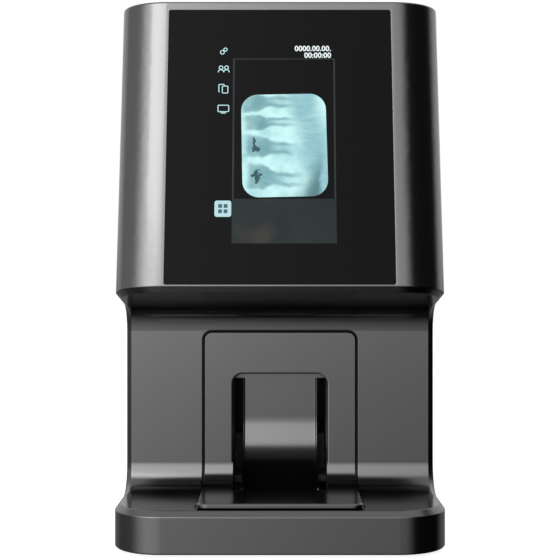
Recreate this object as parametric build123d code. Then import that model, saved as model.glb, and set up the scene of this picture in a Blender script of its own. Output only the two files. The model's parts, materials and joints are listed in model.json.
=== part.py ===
from build123d import *
import math
import os

# A desktop phosphor plate scanner: a C-shaped casing with a leaning touch screen in its head,
# a removable chute front in its neck, and the plate lifter, rollers and optics behind them.
# Millimetres, +Z up, front towards -Y, origin on the table under the middle of the casing.

os.makedirs("parts", exist_ok=True)

# Casing form
width = 160.0
depth = 225.0
height = 267.5
corner_radius = 24.0
foot_standout = 1.5
floor_height = 21.8
neck_setback = 65.7
floor_fillet = 13.0
under_fillet = 12.0
rim_chamfer = 2.7
head_setback = 3.2
head_bottom = 124.4
face_tilt = 12.0
under_slope = 10.0
top_round = 1.2
bottom_chamfer = 0.6
wall = 2.5
seam_setback = 72.5
seam_gap = 0.5
seam_depth = 0.7

# Bottom plate, feet and screws
plate_thickness = 2.5
plate_gap = 0.3
foot_radius = 8.0
foot_sink = 1.0
foot_side_margin = 22.0
foot_end_margin = 28.5
screw_radius = 1.5
screw_head_radius = 3.0
screw_head_height = 1.5
screw_length = 10.0
screw_gap = 0.15
boss_radius = 4.0
boss_side_margin = 9.0
front_boss_margin = 22.0
front_boss_setback = 17.5
middle_boss_setback = 34.8
rear_boss_setback = 24.5
boss_height = 12.0

# Screen
glass_side_margin = 25.55
glass_low = 3.6
glass_top_margin = 4.6
glass_thickness = 1.5
glass_corner = 1.0
glass_gap = 0.15
gasket_thickness = 0.5
ledge_width = 4.0
lcd_width = 66.0
lcd_thickness = 3.0
lcd_low = 13.0
lcd_top_margin = 8.7
lcd_shift = -5.0
carrier_margin = 6.45
carrier_thickness = 3.0
display_board_width = 58.0
display_board_height = 70.0
board_thickness = 1.6
display_board_gap = 5.0
standoff_radius = 2.5

# Removable chute front
insert_border = 15.3
insert_top = 103.1
insert_corner = 4.5
insert_groove = 0.7
insert_chamfer = 0.75
insert_bed_depth = 0.7
insert_thickness = 2.0
insert_back_gap = 1.0
insert_floor_gap = 0.7
insert_lip_setback = 5.0
insert_lip_corner = 5.5
mouth_width = 49.0
mouth_top = 80.9
mouth_corner = 5.2
mouth_round = 1.1
mouth_floor_setback = 43.1
magnet_radius = 4.0
magnet_thickness = 1.2
magnet_gap = 0.3
magnet_low = 50.0
magnet_high = 95.0
backing_border = 3.0
backing_thickness = 2.5

# Chute
tongue_depth = 26.5
tongue_width = 40.0
tongue_arc = 33.8
tongue_thickness = 2.5
tongue_rim_height = 0.8
tongue_rim_width = 1.0
tongue_rib_thickness = 2.5
tongue_rib_place = 9.0
tongue_rib_gap = 2.0
slot_top = 76.6
cheek_thickness = 3.5
cheek_drop = 9.0
cheek_reach = 7.3
cheek_gap = 0.2
header_rise = 25.0

# Roller transport
roller_radius = 6.0
roller_length = 50.0
roller_standout = 1.0
idler_radius = 5.0
nip_gap = 0.6
roller_rise = 15.0
shaft_radius = 2.0
shaft_reach = 36.5
shaft_fit = 0.05
side_frame_thickness = 3.0
side_frame_drop = 7.0
side_frame_reach = 13.7
bearing_radius = 4.0
bearing_flange_radius = 5.5
bearing_flange = 1.0
window_gap = 1.0
pulley_radius = 8.0
pulley_flange_radius = 9.5
pulley_flange = 0.8
belt_width = 3.0
belt_side_gap = 0.2
belt_thickness = 1.2
belt_clearance = 0.1
pulley_offset = 3.5
motor_pulley_radius = 5.0
motor_pulley_flange_radius = 6.5
motor_setback = 34.3
motor_size = 28.0
motor_corner = 4.0
motor_wall_gap = 2.5
motor_shaft_radius = 2.5
motor_bracket_thickness = 2.0
motor_bracket_gap = 1.5
motor_pilot_radius = 11.0

# Plate lifter
lifter_setback = 17.3
lifter_travel = 40.0
finger_width = 3.9
finger_rise = 1.5
finger_thickness = 3.2
finger_reach = 15.7
finger_leg = 4.0
yoke_gap = 2.0
yoke_height = 8.0
yoke_depth = 12.0
rod_radius = 2.0
rod_place = 14.0
lifter_screw_radius = 3.0
journal_radius = 2.5
collar_radius = 5.0
collar_height = 1.5
nut_radius = 5.0
nut_flange_radius = 8.0
nut_flange = 2.0
lifter_plate_thickness = 2.0
lifter_shelf_thickness = 3.0
shelf_gap = 1.0
shelf_half_width = 24.0
shelf_reach = 29.0
shelf_post_radius = 3.0
shelf_post_x = 20.0
shelf_post_reach = 24.0
lifter_fit = 0.05
lifter_end_gap = 0.3

# Optics
deck_post_length = 8.0
optics_base_thickness = 3.0
optics_base_left = 33.0
optics_base_margin = 6.0
optics_setback = 22.3
beam_rise = 9.0
scan_window_drop = 2.0
scan_window_rise = 5.5
scan_window_width = 42.0
mirror_setback = 72.3
mirror_width = 10.0
mirror_height = 12.0
mirror_thickness = 1.2
galvo_radius = 8.0
galvo_length = 24.0
galvo_shaft_radius = 1.5
galvo_fit = 0.05
laser_radius = 6.0
laser_start = 16.0
laser_length = 32.0
laser_aperture = 2.0
laser_block_width = 18.0
clamp_wall = 2.0
lens_setback = 44.3
lens_radius = 5.0
lens_thickness = 5.0
lens_holder_width = 16.0
lens_holder_cap = 1.0
guide_step = 10.0
guide_end_half = 6.0
guide_thickness = 4.0
tube_radius = 10.0
tube_rise = 18.0
tube_setback = 30.3
tube_length = 34.0
shield_thickness = 1.5
stand_setback = 21.0
stand_depth = 9.0
stand_width = 28.0
beam_tunnel_width = 16.0
erase_rise = 12.0
erase_height = 9.0
erase_margin = 2.0
erase_window_margin = 1.0
led_count = 6
led_size = 3.0
led_pitch = 7.0
led_height = 1.5
sensor_width = 12.0
sensor_drop = 7.0
sensor_height = 6.0
sensor_depth = 4.5

# Chassis and boards
chassis_shift = 3.5
chassis_thickness = 2.0
chassis_side_margin = 14.0
chassis_top_margin = 17.5
chassis_flange = 16.0
spacer_radius = 4.0
spacer_side_margin = 29.0
spacer_low = 70.0
spacer_drop = 14.0
board_standoff = 8.0
main_board_width = 100.0
main_board_bottom = 150.0
board_top_margin = 8.0
power_board_width = 100.0
power_board_bottom = 10.0
power_board_height = 62.0
chip_height = 2.0
chip_pitch = 2.0
capacitor_radius = 5.0
speaker_radius = 14.0
speaker_magnet_radius = 8.4
speaker_height = 6.0
speaker_side_margin = 34.0
speaker_reach = 23.0
speaker_slot_width = 1.5
speaker_slot_pitch = 4.5

# Fan and rear panel
fan_size = 60.0
fan_depth = 15.0
fan_drop = 69.5
fan_bore_radius = 27.5
fan_hub_radius = 12.0
fan_tip_gap = 1.0
fan_blades = 7
fan_blade_angle = 35.0
fan_blade_thickness = 1.2
fan_blade_bite = 1.0
fan_pin_radius = 1.5
fan_strut = 3.0
fan_hub_base = 2.5
fan_hub_gap = 0.8
fan_screw_place = 25.0
grille_radius = 26.0
grille_slot = 3.0
grille_pitch = 5.6
io_side_margin = 28.0
io_bottom = 16.0
io_height = 32.0
io_corner = 3.0
io_plate_border = 3.0
io_plate_thickness = 2.0
switch_margin = 12.0
bezel_width = 15.0
bezel_height = 24.0
bezel_border = 2.0
bezel_standout = 1.5
bezel_depth = 12.0
bezel_floor = 1.0
rocker_gap = 0.4
rocker_radius = 9.6
rocker_depth = 3.0
rocker_tilt = 10.0
rocker_sink = 2.4
rocker_pin_radius = 1.2
rocker_pin_bite = 0.5
inlet_x = -14.0
inlet_radius = 6.0
inlet_bore = 3.2
inlet_pin = 1.0
inlet_nut_radius = 8.0
inlet_depth = 14.0
inlet_floor = 2.0
usb_x = 12.0
usb_width = 12.0
usb_height = 11.0
usb_tongue_width = 5.6
usb_tongue_height = 3.2
usb_tongue_setback = 1.5
lan_margin = 14.0
lan_width = 16.0
lan_height = 13.5
socket_wall = 1.2
socket_depth = 15.0
socket_cavity = 11.0
fit_gap = 0.1

# Places on the casing that follow from the sizes above
front_y = -depth / 2
back_y = depth / 2
neck_y = front_y + neck_setback
neck_middle = (floor_height + head_bottom) / 2
head_y = front_y + head_setback
inner_back_y = back_y - wall
seam_place = back_y - seam_setback
tilt = math.radians(face_tilt)
plate_top = foot_standout + plate_thickness
face_plane = Plane(
    origin=(0, head_y, head_bottom),
    x_dir=(1, 0, 0),
    z_dir=(0, -math.cos(tilt), math.sin(tilt)),
)
glass_width = width - 2 * glass_side_margin
glass_high = (height - head_bottom) / math.cos(tilt) - glass_top_margin
lcd_height = glass_high - lcd_low - lcd_top_margin
carrier_width = glass_width - 2 * carrier_margin

# Places in the chute and its front
insert_width = mouth_width + 2 * insert_border
insert_floor = floor_height + insert_floor_gap + insert_thickness
insert_fillet = floor_fillet - insert_floor_gap - insert_thickness
insert_back_y = neck_y + insert_thickness
lip_y = front_y + insert_lip_setback
mouth_front_y = front_y + mouth_floor_setback
pocket_y = insert_back_y + insert_back_gap
backing_y = pocket_y + backing_thickness
tongue_y = neck_y + tongue_depth
tongue_back_y = tongue_y + tongue_thickness
slot_width = (mouth_width - tongue_width) / 2
cheek_outer = mouth_width / 2 + cheek_thickness

# Places of the lifter, which carries the optics deck over its shelf
lifter_y = tongue_y + lifter_setback
lifter_base_bottom = plate_top + motor_size
lifter_base_top = lifter_base_bottom + lifter_plate_thickness
yoke_bottom = lifter_base_top + yoke_gap + nut_flange
yoke_top = yoke_bottom + yoke_height
shelf_bottom = yoke_top + lifter_travel + shelf_gap
shelf_top = shelf_bottom + lifter_shelf_thickness
finger_x = tongue_width / 2 + slot_width / 2
finger_bottom = floor_height + finger_rise
finger_back_y = lifter_y - yoke_depth / 2
optics_base_bottom = shelf_top + deck_post_length
optics_top = optics_base_bottom + optics_base_thickness
beam_height = optics_top + beam_rise

# Places of the rollers, half above and half below the beam, and of their drive
lower_roller_height = beam_height - roller_rise
upper_roller_height = beam_height + roller_rise
cheek_top = lower_roller_height - cheek_drop
header_top = upper_roller_height + header_rise
side_frame_x = cheek_outer + side_frame_thickness
frame_outer_x = side_frame_x + side_frame_thickness
drive_y = tongue_y - roller_standout + roller_radius
idler_y = tongue_y - roller_standout - nip_gap - idler_radius
pulley_x = -(frame_outer_x + bearing_flange + pulley_offset)
pulley_width = belt_width + 2 * belt_side_gap + 2 * pulley_flange
motor_face_x = pulley_x - pulley_width - motor_bracket_gap - motor_bracket_thickness
motor_length = width / 2 - wall - motor_wall_gap + motor_face_x
motor_pulley_y = tongue_y + motor_setback

# Places of the optics
optics_front = tongue_y + optics_setback
mirror_y = tongue_y + mirror_setback
lens_y = tongue_y + lens_setback
scan_window_bottom = beam_height - scan_window_drop
scan_window_top = beam_height + scan_window_rise
guide_bottom = scan_window_top - guide_thickness
tube_front = tongue_y + tube_setback
tube_height = beam_height + tube_rise
erase_bottom = upper_roller_height + erase_rise
erase_half = led_count * led_pitch / 2

# Places of the chassis, fan and rear panel
fan_front_y = inner_back_y - fan_depth
fan_height = height - fan_drop
optics_back_y = mirror_y + laser_radius + clamp_wall
chassis_y = (optics_back_y + fan_front_y) / 2 - chassis_shift
chassis_top = height - chassis_top_margin
chassis_width = width - 2 * chassis_side_margin
board_front_y = chassis_y - board_standoff
main_board_height = chassis_top - board_top_margin - main_board_bottom
io_width = width - 2 * io_side_margin
io_middle = io_bottom + io_height / 2
switch_x = switch_margin - io_width / 2
switch_y = inner_back_y + bezel_standout - rocker_sink - rocker_radius / 2
lan_x = io_width / 2 - lan_margin

sub_parts = {}


def block(x0, x1, y0, y1, z0, z1):
    """A box given by its two corners."""
    size = Box(x1 - x0, y1 - y0, z1 - z0)
    return Pos((x0 + x1) / 2, (y0 + y1) / 2, (z0 + z1) / 2) * size


def post(x, y, z0, z1, radius):
    """A round bar along Z."""
    return Pos(x, y, (z0 + z1) / 2) * Cylinder(radius, z1 - z0)


def bar_x(x0, x1, y, z, radius):
    """A round bar along X."""
    return Pos((x0 + x1) / 2, y, z) * Rot(0, 90, 0) * Cylinder(radius, x1 - x0)


def bar_y(y0, y1, x, z, radius):
    """A round bar along Y."""
    return Pos(x, (y0 + y1) / 2, z) * Rot(90, 0, 0) * Cylinder(radius, y1 - y0)


def group(solids):
    """Separate solids that share one node."""
    return Compound(children=list(solids))


def crossing(p, p_angle, q, q_angle):
    """Where the line from p at p_angle meets the line from q at q_angle."""
    a, b = math.radians(p_angle), math.radians(q_angle)
    spread = math.cos(a) * math.sin(b) - math.sin(a) * math.cos(b)
    along = ((q[0] - p[0]) * math.sin(b) - (q[1] - p[1]) * math.cos(b)) / spread
    return (p[0] + along * math.cos(a), p[1] + along * math.sin(a))


def side_form(inset, bottom):
    """The casing's outline seen from the side, drawn in by inset and run across X."""
    slope = math.radians(under_slope)
    under = (head_y + inset * math.sin(slope), head_bottom + inset * math.cos(slope))
    face = (head_y + inset * math.cos(tilt), head_bottom - inset * math.sin(tilt))
    neck_low = (neck_y + inset, floor_height - inset)
    neck_high = crossing(neck_low, 90, under, -under_slope)
    points = [
        (front_y + inset, bottom),
        (front_y + inset, floor_height - inset),
        neck_low,
        neck_high,
        crossing(under, -under_slope, face, 90 - face_tilt),
        crossing(face, 90 - face_tilt, (0, height - inset), 0),
        (back_y - inset, height - inset),
        (back_y - inset, bottom),
    ]
    outline = make_face(Polyline(*points, close=True))
    for corner, radius in ((neck_low, floor_fillet), (neck_high, under_fillet)):
        vertex = outline.vertices().sort_by_distance(Vector(corner[0], corner[1], 0))[0]
        outline = fillet(vertex, radius + inset)
    return extrude(Plane.YZ * outline, amount=width, both=True)


def plan_form(inset, bottom):
    """The casing's rounded plan: upright below, and leaning with the screen face above."""
    form_width = width - 2 * inset
    radius = corner_radius - inset
    plan = Pos(0, 0, bottom) * RectangleRounded(form_width, depth - 2 * inset, radius)
    lower = extrude(plan, amount=neck_middle - bottom)
    lean = math.tan(tilt)
    rise = height - neck_middle
    front = head_y + inset / math.cos(tilt) + (neck_middle - head_bottom) * lean
    rear = back_y - inset
    leaning = rounded_slab(form_width, front, rear + height, front, radius)
    upright = rounded_slab(form_width, front_y - height, rear, rear, radius)
    stretch = rise * math.hypot(1, lean)
    return lower + (extrude(leaning, amount=stretch, dir=(0, lean, 1)) & extrude(upright, amount=rise))


def rounded_slab(slab_width, y0, y1, corner_y, radius):
    """A flat slab at the neck's middle with only its corners at corner_y rounded."""
    slab = Pos(0, (y0 + y1) / 2) * Rectangle(slab_width, y1 - y0)
    corners = [v for v in slab.vertices() if abs(v.Y - corner_y) < 0.01]
    return Pos(0, 0, neck_middle) * fillet(corners, radius)


def casing_outside():
    """The whole outer form with its soft rim round the recess and its top and bottom edges."""
    form = side_form(0, foot_standout) & plan_form(0, foot_standout)

    def in_recess(face):
        middle = face.center()
        inside = floor_height - 1 < middle.Z < head_bottom and front_y + 1 < middle.Y < neck_y + 1
        return inside and abs(middle.X) < 1

    form = chamfer(skin_rim(form, in_recess), rim_chamfer)
    top = [edge for edge in form.edges() if abs(edge.center().Z - height) < 0.01]
    form = fillet(top, top_round)
    low = [edge for edge in form.edges() if abs(edge.center().Z - foot_standout) < 0.01]
    return chamfer(low, bottom_chamfer)


def insert_profile(gap, lip_y, top):
    """The chute front's L from the side, as the region in front of its back, out by gap."""
    back = insert_back_y + gap
    under = insert_floor - insert_thickness - min(gap, insert_floor_gap)
    points = [(lip_y, under), (back, under), (back, top), (lip_y, top)]
    region = make_face(Polyline(*points, close=True))
    corner = region.vertices().sort_by_distance(Vector(back, under, 0))[0]
    return fillet(corner, floor_fillet - insert_floor_gap)


def tray_plan(gap):
    """The chute front seen from above, with its two front corners rounded, out by gap."""
    y0 = lip_y - gap
    plan = Pos(0, (y0 + insert_back_y) / 2) * Rectangle(insert_width + 2 * gap, insert_back_y - y0)
    corners = [v for v in plan.vertices() if v.Y < neck_y]
    return fillet(corners, insert_lip_corner + gap)


def skin_rim(form, on_skin):
    """The edges round the faces that on_skin picks, without those between two of them."""
    edges = [edge for face in form.faces() if on_skin(face) for edge in face.edges()]
    return [edge for edge in edges if sum(1 for other in edges if other == edge) == 1]


def across(profile, half_width):
    """A side profile run across X."""
    return extrude(Plane.YZ * profile, amount=half_width, both=True)


def upright_panel(panel_width, bottom, top, radius, y0, y1):
    """A plate facing front with its two top corners rounded."""
    panel = Pos(0, (bottom + top) / 2) * Rectangle(panel_width, top - bottom)
    corners = [v for v in panel.vertices() if v.Y > (bottom + top) / 2]
    sheet = Plane(origin=(0, y1, 0), x_dir=(1, 0, 0), z_dir=(0, -1, 0)) * fillet(corners, radius)
    return extrude(sheet, amount=y1 - y0)


def boss_places():
    """Where the bottom screws go: front pair, middle pair and rear pair."""
    places = []
    side_x = width / 2 - boss_side_margin
    for side in (-1, 1):
        places.append((side * (width / 2 - front_boss_margin), front_y + front_boss_setback))
        places.append((side * side_x, neck_y + middle_boss_setback))
        places.append((side * side_x, back_y - rear_boss_setback))
    return places


def boss_solid(x, y):
    """A screw boss that stands on the bottom plate and joins the nearest wall or floor."""
    if y < neck_y:
        top = floor_height - wall / 2
        return post(x, y, plate_top, top, boss_radius)
    side = math.copysign(1, x)
    top = plate_top + boss_height
    wall_x = side * (width / 2 - wall / 2)
    web = block(min(x, wall_x), max(x, wall_x), y - boss_radius, y + boss_radius, plate_top, top)
    return post(x, y, plate_top, top, boss_radius) + web


def make_casing():
    """The front and rear housings from one hollow form, parted at the seam."""
    outside = casing_outside()
    inside = side_form(wall, -foot_standout) & plan_form(wall, -foot_standout)
    shell = outside - inside
    skin = outside - (side_form(seam_depth, -foot_standout) & plan_form(seam_depth, -foot_standout))
    seam_front = seam_place - seam_gap / 2
    seam_back = seam_place + seam_gap / 2
    shell -= skin & block(-width, width, seam_front, seam_back, -height, 2 * height)

    front = shell & block(-width, width, front_y - 1, seam_place, 0, height + 1)
    half = insert_width / 2 + insert_groove
    backing_half = half + backing_border
    backing_top = insert_top + insert_groove + backing_border
    front += block(-backing_half, backing_half, neck_y, backing_y, floor_height - wall, backing_top)
    pocket = across(insert_profile(insert_back_gap, front_y, insert_top + insert_groove), half)
    pocket &= upright_panel(
        2 * half, 0, insert_top + insert_groove, insert_corner + insert_groove, front_y, pocket_y
    )
    pocket &= block(-half, half, neck_y - 2 * floor_fillet, pocket_y, floor_height, height)
    front -= pocket
    bed = extrude(Pos(0, 0, floor_height - insert_bed_depth) * tray_plan(insert_groove), amount=wall)
    bed_end = pocket_y - floor_fillet + insert_floor_gap
    bed -= block(-half, half, bed_end, 0, 0, height)
    bed -= block(-mouth_width / 2, mouth_width / 2, mouth_front_y, 0, 0, height)
    front -= bed
    hole = cheek_outer + cheek_gap
    hole_front = tongue_y - tongue_arc - cheek_gap
    front -= block(-hole, hole, hole_front, backing_y + 1, floor_height - 2 * wall, cheek_top + cheek_gap)
    for x, z in magnet_places():
        front -= bar_y(pocket_y - 1, pocket_y + magnet_thickness, x, z, magnet_radius)
    front -= face_pocket()
    for x, y in boss_places():
        if y < seam_place:
            front += boss_solid(x, y)
            front -= post(x, y, 0, plate_top + boss_height - wall, screw_radius)
    sub_parts["front_housing"] = front

    rear = shell & block(-width, width, seam_place, back_y + 1, 0, height + 1)
    rear -= io_opening()
    for z in grille_rows():
        half_slot = math.sqrt(grille_radius**2 - (z - fan_height) ** 2) - grille_slot / 2
        slot = SlotCenterToCenter(2 * half_slot, grille_slot)
        sheet = Plane(origin=(0, back_y + 1, z), x_dir=(1, 0, 0), z_dir=(0, -1, 0)) * slot
        rear -= extrude(sheet, amount=wall + 2)
    for x, z in spacer_places():
        rear -= bar_y(inner_back_y - 1, back_y + 1, x, z, screw_radius + screw_gap)
        rear -= bar_y(back_y - screw_head_height, back_y + 1, x, z, screw_head_radius + screw_gap)
    for x, z in fan_screw_places():
        rear -= bar_y(inner_back_y - 1, back_y + 1, x, z, screw_radius + screw_gap)
        rear -= bar_y(back_y - screw_head_height, back_y + 1, x, z, screw_head_radius + screw_gap)
    for x, y in boss_places():
        if y > seam_place:
            rear += boss_solid(x, y)
            rear -= post(x, y, 0, plate_top + boss_height - wall, screw_radius)
    sub_parts["rear_housing"] = rear


def face_pocket():
    """The step for the screen glass and the window behind it, cut into the leaning face."""
    span = glass_high - glass_low
    middle = (glass_high + glass_low) / 2
    step = glass_thickness + gasket_thickness
    seat = RectangleRounded(glass_width + 2 * glass_gap, span + 2 * glass_gap, glass_corner)
    cut = extrude(face_plane * Pos(0, middle, -step) * seat, amount=step + wall)
    opening = RectangleRounded(glass_width - 2 * ledge_width, span - 2 * ledge_width, glass_corner)
    return cut + extrude(face_plane * Pos(0, middle, -2 * wall) * opening, amount=2 * wall)


def make_bottom():
    """The bottom plate with its speaker holes, feet and countersunk screws."""
    inset = wall + plate_gap
    outline = RectangleRounded(width - 2 * inset, depth - 2 * inset, corner_radius - inset)
    plate = extrude(Pos(0, 0, foot_standout) * outline, amount=plate_thickness)
    screws = []
    head_top = foot_standout + screw_head_height
    for x, y in boss_places():
        cone_height = screw_head_height
        head = Cone(screw_head_radius, screw_radius, cone_height)
        head = Pos(x, y, foot_standout + cone_height / 2) * head
        sink = Cone(screw_head_radius + screw_gap, screw_radius + screw_gap, cone_height)
        plate -= Pos(x, y, foot_standout + cone_height / 2) * sink
        plate -= post(x, y, foot_standout, plate_top + 1, screw_radius + screw_gap)
        screws.append(head + post(x, y, head_top, foot_standout + screw_length, screw_radius))
    feet = []
    for side_x in (-1, 1):
        for side_y in (-1, 1):
            x = side_x * (width / 2 - foot_side_margin)
            y = side_y * (depth / 2 - foot_end_margin)
            plate -= post(x, y, 0, foot_standout + foot_sink, foot_radius + fit_gap)
            foot = post(x, y, 0, foot_standout + foot_sink, foot_radius)
            feet.append(chamfer(foot.edges().group_by(Axis.Z)[0], bottom_chamfer))
    speaker_x = width / 2 - speaker_side_margin
    speaker_y = lifter_y + speaker_reach
    for index in range(-2, 3):
        slot = SlotCenterToCenter(speaker_radius, speaker_slot_width)
        row_y = speaker_y + index * speaker_slot_pitch
        plate -= extrude(Pos(speaker_x, row_y, foot_standout - 1) * slot, amount=plate_thickness + 2)
    sub_parts["bottom_plate"] = plate
    sub_parts["rubber_feet"] = group(feet)
    sub_parts["bottom_screws"] = group(screws)
    basket_top = plate_top + speaker_height / 2
    magnet = post(speaker_x, speaker_y, basket_top, plate_top + speaker_height, speaker_magnet_radius)
    basket = post(speaker_x, speaker_y, plate_top, basket_top, speaker_radius)
    sub_parts["speaker"] = basket + magnet


def make_screen():
    """The screen glass, its gasket, the LCD behind it, the carrier and the driver board."""
    span = glass_high - glass_low
    middle = (glass_high + glass_low) / 2
    glass = RectangleRounded(glass_width, span, glass_corner)
    sub_parts["front_glass"] = extrude(face_plane * Pos(0, middle, -glass_thickness) * glass,
                                       amount=glass_thickness)
    step = glass_thickness + gasket_thickness
    opening = RectangleRounded(glass_width - 2 * ledge_width, span - 2 * ledge_width, glass_corner)
    frame = extrude(face_plane * Pos(0, middle, -step) * glass, amount=gasket_thickness)
    frame -= extrude(face_plane * Pos(0, middle, -step - 1) * opening, amount=gasket_thickness + 2)
    sub_parts["glass_gasket"] = frame
    lcd_middle = lcd_low + lcd_height / 2
    lcd = RectangleRounded(lcd_width, lcd_height, glass_corner)
    lcd_back = glass_thickness + lcd_thickness
    sub_parts["lcd_module"] = extrude(face_plane * Pos(lcd_shift, lcd_middle, -lcd_back) * lcd,
                                      amount=lcd_thickness)
    carrier_span = span - 2 * fit_gap
    carrier = Rectangle(carrier_width, carrier_span)
    tray = extrude(face_plane * Pos(0, middle, -wall - carrier_thickness) * carrier,
                   amount=carrier_thickness)
    room = Rectangle(lcd_width + 2 * fit_gap, lcd_height + 2 * fit_gap)
    room_depth = lcd_back - wall
    tray -= extrude(face_plane * Pos(lcd_shift, lcd_middle, -lcd_back) * room, amount=room_depth)
    window = Rectangle(lcd_width - 2 * ledge_width, lcd_height - 2 * ledge_width)
    tray -= extrude(face_plane * Pos(lcd_shift, lcd_middle, -2 * lcd_back) * window, amount=lcd_back)
    sub_parts["lcd_carrier"] = tray
    tray_back = wall + carrier_thickness
    board_back = tray_back + display_board_gap + board_thickness
    board = Rectangle(display_board_width, display_board_height)
    sheet = extrude(face_plane * Pos(lcd_shift, lcd_middle, -board_back) * board, amount=board_thickness)
    sub_parts["display_board"] = sheet


def screen_standoffs():
    """The four standoffs between the LCD carrier and the display board."""
    stand_x = display_board_width / 2 - standoff_radius
    stand_y = display_board_height / 2 - standoff_radius
    middle = lcd_low + lcd_height / 2
    z = -wall - carrier_thickness - display_board_gap / 2
    stands = []
    for side_x in (-1, 1):
        for side_y in (-1, 1):
            x, y = lcd_shift + side_x * stand_x, middle + side_y * stand_y
            stands.append(face_plane * Pos(x, y, z) * Cylinder(standoff_radius, display_board_gap))
    return stands


def magnet_places():
    """Where the chute front's magnets face the housing."""
    x = cheek_outer + magnet_gap + magnet_radius
    return [(side * x, z) for side in (-1, 1) for z in (magnet_low, magnet_high)]


def tongue_strip(rise, top, left, right):
    """The bent strip of the tongue between two sides, with its front raised by rise."""
    arc_z = floor_height + tongue_arc
    arc_y = tongue_y - tongue_arc
    front_arc = tongue_arc - rise
    back_arc = tongue_arc + tongue_thickness
    turn = math.sqrt(0.5)
    front_bend = (arc_y + front_arc * turn, arc_z - front_arc * turn)
    back_bend = (arc_y + back_arc * turn, arc_z - back_arc * turn)
    outline = [
        Line((tongue_y - rise, top), (tongue_y - rise, arc_z)),
        ThreePointArc((tongue_y - rise, arc_z), front_bend, (arc_y, floor_height + rise)),
        Line((arc_y, floor_height + rise), (arc_y, floor_height - tongue_thickness)),
        ThreePointArc((arc_y, floor_height - tongue_thickness), back_bend, (tongue_back_y, arc_z)),
        Line((tongue_back_y, arc_z), (tongue_back_y, top)),
        Line((tongue_back_y, top), (tongue_y - rise, top)),
    ]
    return Pos((left + right) / 2, 0, 0) * across(make_face(Wire(outline)), (right - left) / 2)


def rounded_mouth_wall(mouth):
    """The part of the chute front's wall round the mouth, with the mouth's front edge rounded."""
    half = (mouth_width + insert_border) / 2
    top = (mouth_top + insert_top) / 2
    wall_part = block(-half, half, neck_y, insert_back_y, 0, top) - mouth
    edges = []
    for edge in wall_part.edges():
        middle = edge.center()
        in_front = abs(middle.Y - neck_y) < 0.01
        if in_front and abs(middle.X) < mouth_width / 2 + 0.01 and 1 < middle.Z < mouth_top + 0.01:
            edges.append(edge)
    rounded = fillet(edges, mouth_round)
    return rounded & block(-half, half, neck_y, insert_back_y, insert_floor + insert_fillet, top)


def make_insert():
    """The removable front: an L of wall plate and floor tray with a soft rim, and the mouth in it."""
    whole = across(insert_profile(0, lip_y, insert_top), insert_width / 2)
    outer = make_face(Polyline(
        (lip_y - 1, insert_floor), (neck_y, insert_floor), (neck_y, insert_top + 1),
        (lip_y - 1, insert_top + 1), close=True))
    corner = outer.vertices().sort_by_distance(Vector(neck_y, insert_floor, 0))[0]
    whole -= across(fillet(corner, insert_fillet), insert_width)
    whole &= upright_panel(insert_width, 0, insert_top, insert_corner, lip_y, insert_back_y)
    whole &= extrude(tray_plan(0), amount=height)

    def faces_front(face):
        middle = face.center()
        flat = abs(middle.Y - neck_y) < 0.01 or abs(middle.Z - insert_floor) < 0.01
        hollow = face.geom_type == GeomType.CYLINDER and abs(face.radius - insert_fillet) < 0.01
        return flat or hollow

    whole = chamfer(skin_rim(whole, faces_front), insert_chamfer)
    mouth = upright_panel(mouth_width, 0, mouth_top, mouth_corner, mouth_front_y, insert_back_y + 1)
    whole -= mouth
    mouth_wall = rounded_mouth_wall(mouth)
    box = mouth_wall.bounding_box()
    whole -= block(box.min.X, box.max.X, neck_y - 1, insert_back_y + 1, box.min.Z, box.max.Z)
    whole += mouth_wall
    for x, z in magnet_places():
        whole -= bar_y(insert_back_y - magnet_thickness, insert_back_y + 1, x, z, magnet_radius)
    sub_parts["front_insert"] = whole
    magnets, plates = [], []
    for x, z in magnet_places():
        magnets.append(bar_y(insert_back_y - magnet_thickness, insert_back_y, x, z, magnet_radius))
        plates.append(bar_y(pocket_y, pocket_y + magnet_thickness, x, z, magnet_radius))
    sub_parts["insert_magnets"] = group(magnets)
    sub_parts["catch_plates"] = group(plates)


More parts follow.
